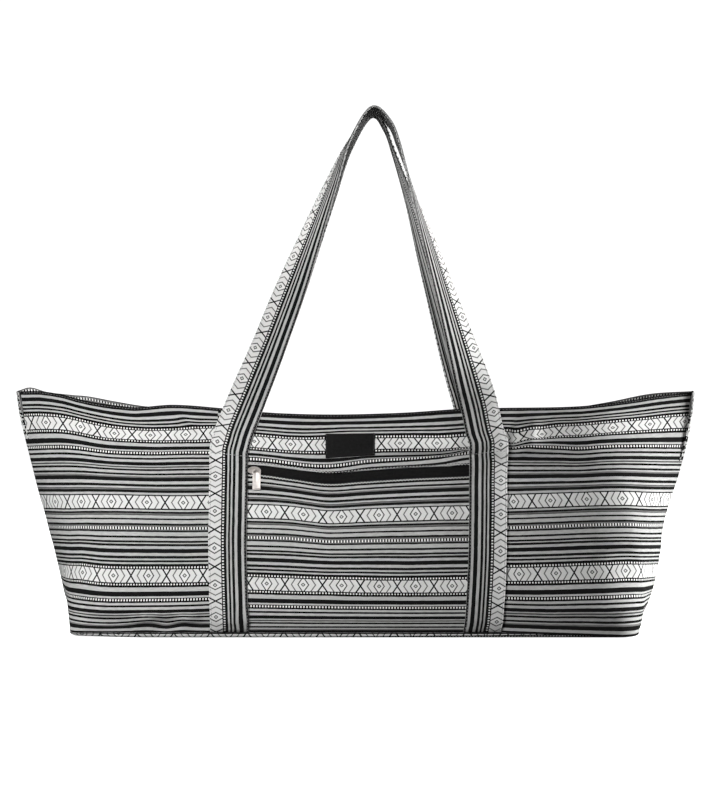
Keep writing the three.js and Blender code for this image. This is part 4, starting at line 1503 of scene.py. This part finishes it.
# %% Hem, pocket and label stitches
HEM_ROW = 2.0
HEM_MARGIN = 8.0
HEM_STEPS = 160
EDGE_ROW = 1.1
# Distance from the zip of the dark stitch row that is painted shadow under each folded pocket edge.
EDGE_SHADOW_ROW = 2.2
LABEL_ROW_ENDS = (190, 212)
LABEL_ROW_STEPS = 12
FACING_IN = -1.0


def pocket_rows(gap):
    lift = POCKET_LIFT[1] + FOLD_THICK + THREAD_LIFT
    return [wall_row("front", pocket_along, z, lift) for z in (zip_high + gap, zip_low - gap)]


hem_along = np.linspace(HEM_MARGIN - PANEL_HALF, PANEL_HALF - HEM_MARGIN, HEM_STEPS)
hem_rows = []
for side in ("front", "back"):
    hem_z = top_height(side, hem_along) - HEM_ROW
    hem_rows.append(wall_row(side, hem_along, hem_z, THREAD_LIFT))
    hem_rows.append(wall_row(side, hem_along, hem_z, -HEM_THICK - THREAD_LIFT, FACING_IN))
hem_stitches = sew("hem_stitches", hem_rows, HEM_THREAD)
pocket_stitches = sew("pocket_stitches", pocket_rows(EDGE_ROW), PALE_THREAD)
# Painted shadow: a dark stitch row beside each pale row along the zip stands in for the shade under the
# folded edge.
edge_shadow_stitches = sew("edge_shadow_stitches", pocket_rows(EDGE_SHADOW_ROW), DARK_THREAD_AND_SHADOW)
label_row_z = np.linspace(*LABEL_ROW_ENDS, LABEL_ROW_STEPS)
label_rows = [wall_row("front", end, label_row_z, LABEL_LIFT[1] + THREAD_LIFT)
              for end in (LABEL_LEFT + EDGE_ROW, LABEL_RIGHT - EDGE_ROW)]
label_stitches = sew("label_stitches", label_rows, DARK_THREAD_AND_SHADOW)
for sewn in (hem_stitches, pocket_stitches, edge_shadow_stitches, label_stitches):
    print(sewn.name, len(sewn.data.polygons) // len(STITCH_FACES))

# %% Strap stitches
CROSS_ROW_Z = 193.0
GROOVE = 5
FREE_OVERLAP = 4


def strap_rows(rings):
    half = len(section_across)
    face = unit(rings[:, half // 2] - rings[:, 2 * half - 1 - half // 2])
    free = slice(leg_count - FREE_OVERLAP, len(rings) - leg_count + FREE_OVERLAP)
    rows = [(rings[:, k], face) for k in (GROOVE, half - 1 - GROOVE)]
    rows += [(rings[free, k], -face[free]) for k in (half + GROOVE, 2 * half - 1 - GROOVE)]
    height = rings[:, half // 2, 2]
    for leg in (slice(0, leg_count), slice(len(rings) - leg_count, len(rings))):
        k = leg.start + np.argmin(np.abs(height[leg] - CROSS_ROW_Z))
        line = rings[k, GROOVE : half - GROOVE]
        rows.append((line, np.broadcast_to(face[k], line.shape)))
    return rows


strap_stitches = sew("strap_stitches", strap_rows(front_rings) + strap_rows(back_rings),
                     GREY_THREAD)
print("strap stitches", len(strap_stitches.data.polygons) // len(STITCH_FACES))

# %% [markdown]
# ## Zip slider and pull
# The slider is an oval plate with a dished middle and a post that carries a pin. The pull is a tab with a
# dished face and a barrel that turns on the pin, with a gap in the barrel for the post. Both start from a
# primitive, lying flat, whose top face is inset and pressed, and are then tilted to the slope of the zip.
# The frame's joint says where the pin is.

# %% Measures of the zip's metal, in millimetres and degrees
ZIP_SLOPE = 12.236
SOFT_EDGE = 0.18
SMOOTH_ANGLE = 50
FACING_UP = 0.9
ROD_SIDES = 24
Press = namedtuple("Press", "inset aside rise")
SLIDER_X = -4.0
SLIDER_HALF = (6.9, 3.9, 1.2)
SLIDER_SEAT = 0.6
SLIDER_SIDES = 32
SLIDER_PRESSES = (Press(0.3, 0, 0.4), Press(1.1, 0, 0.2), Press(0.3, 0, -1.3))
PIN_OUT = 4.6
PIN_RADIUS = 0.8
PIN_SHORT = 0.6
POST_WIDTH = 2.5
POST_TOP = 0.6
PULL_LEFT = -5.2
PULL_RIGHT = 3.2
PULL_TOP = 0.6
PULL_END = -20.8
PULL_THICK = 1.0
PULL_BACK = -2.2
PULL_CORNER = 0.9
CORNER_STEPS = 4
PULL_PRESSES = (Press(0.2, 0, 0.2), Press(1.6, 1.5, -0.7))
BARREL = 2.2
BARREL_SHORT = 0.2
GAP_LEFT = -4.3
GAP_RIGHT = -1.0
GAP_CUT = (3 * BARREL, 4 * BARREL)
EYE_RADIUS = 1.3
EYE_EXTRA = 2.0
PIN_PLACE = frame["joints"][0]["pos_m"]
print("the pin is at", PIN_PLACE)


# %% Tools for the metal pieces
def solid(add, scale, place, **settings):
    bpy.ops.object.select_all(action="DESELECT")
    add(location=[v * MM for v in place], **settings)
    piece = bpy.context.object
    piece.scale = [v * MM for v in scale]
    bpy.ops.object.transform_apply(location=True, rotation=True, scale=True)
    return piece


def block(sizes, place):
    return solid(bpy.ops.mesh.primitive_cube_add, sizes, place, size=1.0)


def rod(radius, length, place):
    return solid(bpy.ops.mesh.primitive_cylinder_add, (length, radius, radius), place, vertices=ROD_SIDES,
                 radius=1.0, depth=1.0, rotation=(0, math.pi / 2, 0))


def fuse(piece, other, operation="UNION"):
    joint = piece.modifiers.new("fuse", "BOOLEAN")
    joint.operation = operation
    joint.object = other
    bpy.context.view_layer.objects.active = piece
    bpy.ops.object.modifier_apply(modifier="fuse")
    bpy.data.objects.remove(other)


def pick(piece, kind, test):
    bpy.context.view_layer.objects.active = piece
    bpy.ops.object.mode_set(mode="EDIT")
    bpy.ops.mesh.select_mode(type=kind)
    bpy.ops.mesh.select_all(action="DESELECT")
    bpy.ops.object.mode_set(mode="OBJECT")
    for item in piece.data.polygons if kind == "FACE" else piece.data.edges:
        item.select = test(item)
    bpy.ops.object.mode_set(mode="EDIT")


def press_top(piece, presses):
    pick(piece, "FACE", lambda face: face.normal.z > FACING_UP)
    for press in presses:
        bpy.ops.mesh.inset(thickness=press.inset * MM)
        bpy.ops.transform.translate(value=(press.aside * MM, 0, press.rise * MM))
    bpy.ops.object.mode_set(mode="OBJECT")


print("metal tools ready")


# %% Placing the metal on the zip
def hang_on_zip(piece, name, body):
    softened = piece.modifiers.new("soft_edges", "BEVEL")
    softened.width = SOFT_EDGE * MM
    softened.segments = 2
    bpy.ops.object.select_all(action="DESELECT")
    piece.select_set(True)
    bpy.context.view_layer.objects.active = piece
    bpy.ops.object.modifier_apply(modifier="soft_edges")
    bpy.ops.object.shade_smooth_by_angle(angle=math.radians(SMOOTH_ANGLE))
    piece.name = name
    piece.rotation_euler = (math.radians(90 - ZIP_SLOPE), 0, 0)
    piece.location = PIN_PLACE
    bpy.ops.object.transform_apply(location=True, rotation=True, scale=True)
    piece.data.materials.clear()
    piece.data.materials.append(NICKEL)
    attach(piece, body)


print("metal leans back", ZIP_SLOPE, "degrees")


# %% Slider
def slider_piece():
    half_length, half_width, half_thick = SLIDER_HALF
    body = solid(bpy.ops.mesh.primitive_cylinder_add, (half_length, half_width, 2 * half_thick),
                 (SLIDER_X, 0, SLIDER_SEAT - PIN_OUT), vertices=SLIDER_SIDES, radius=1.0, depth=1.0)
    press_top(body, SLIDER_PRESSES)
    fuse(body, rod(PIN_RADIUS, PULL_RIGHT - PULL_LEFT - PIN_SHORT, ((PULL_LEFT + PULL_RIGHT) / 2, 0, 0)))
    fuse(body, block((POST_WIDTH, 2 * PIN_RADIUS, PIN_OUT + POST_TOP),
                     ((GAP_LEFT + GAP_RIGHT) / 2, 0, (POST_TOP - PIN_OUT) / 2)))
    return body


slider = slider_piece()
hang_on_zip(slider, "slider", "bag")
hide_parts("zip_slider")
print("slider", len(slider.data.polygons), "faces")


# %% Pull
def pull_piece():
    middle = (PULL_LEFT + PULL_RIGHT) / 2
    width = PULL_RIGHT - PULL_LEFT
    tab = block((width, PULL_TOP - PULL_END, PULL_THICK),
                (middle, (PULL_TOP + PULL_END) / 2, PULL_BACK + PULL_THICK / 2))

    def is_low_corner(edge):
        a, b = (tab.data.vertices[k].co for k in edge.vertices)
        return abs(a.z - b.z) > PULL_THICK * MM / 2 and a.y < PULL_END * MM / 2

    pick(tab, "EDGE", is_low_corner)
    bpy.ops.mesh.bevel(offset=PULL_CORNER * MM, segments=CORNER_STEPS)
    bpy.ops.object.mode_set(mode="OBJECT")
    press_top(tab, PULL_PRESSES)
    fuse(tab, rod(BARREL, width - BARREL_SHORT, (middle, 0, 0)))
    gap = block((GAP_RIGHT - GAP_LEFT, *GAP_CUT), ((GAP_LEFT + GAP_RIGHT) / 2, 0, 0))
    fuse(tab, gap, "DIFFERENCE")
    fuse(tab, rod(EYE_RADIUS, width + EYE_EXTRA, (middle, 0, 0)), "DIFFERENCE")
    return tab


pull = pull_piece()
hang_on_zip(pull, "pull", "zip_pull")
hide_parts("zip_pull")
print("pull", len(pull.data.polygons), "faces")

# %% [markdown]
# ## Cloth as it was cut
# A cut is a row that names a cloth piece, its width and length, and what it rests on. The sizes are the
# finished ones with seam allowances and hems added.

# %% A row for the cut size of a cloth, in millimetres
Cut = namedtuple("Cut", "piece width length rests_on")
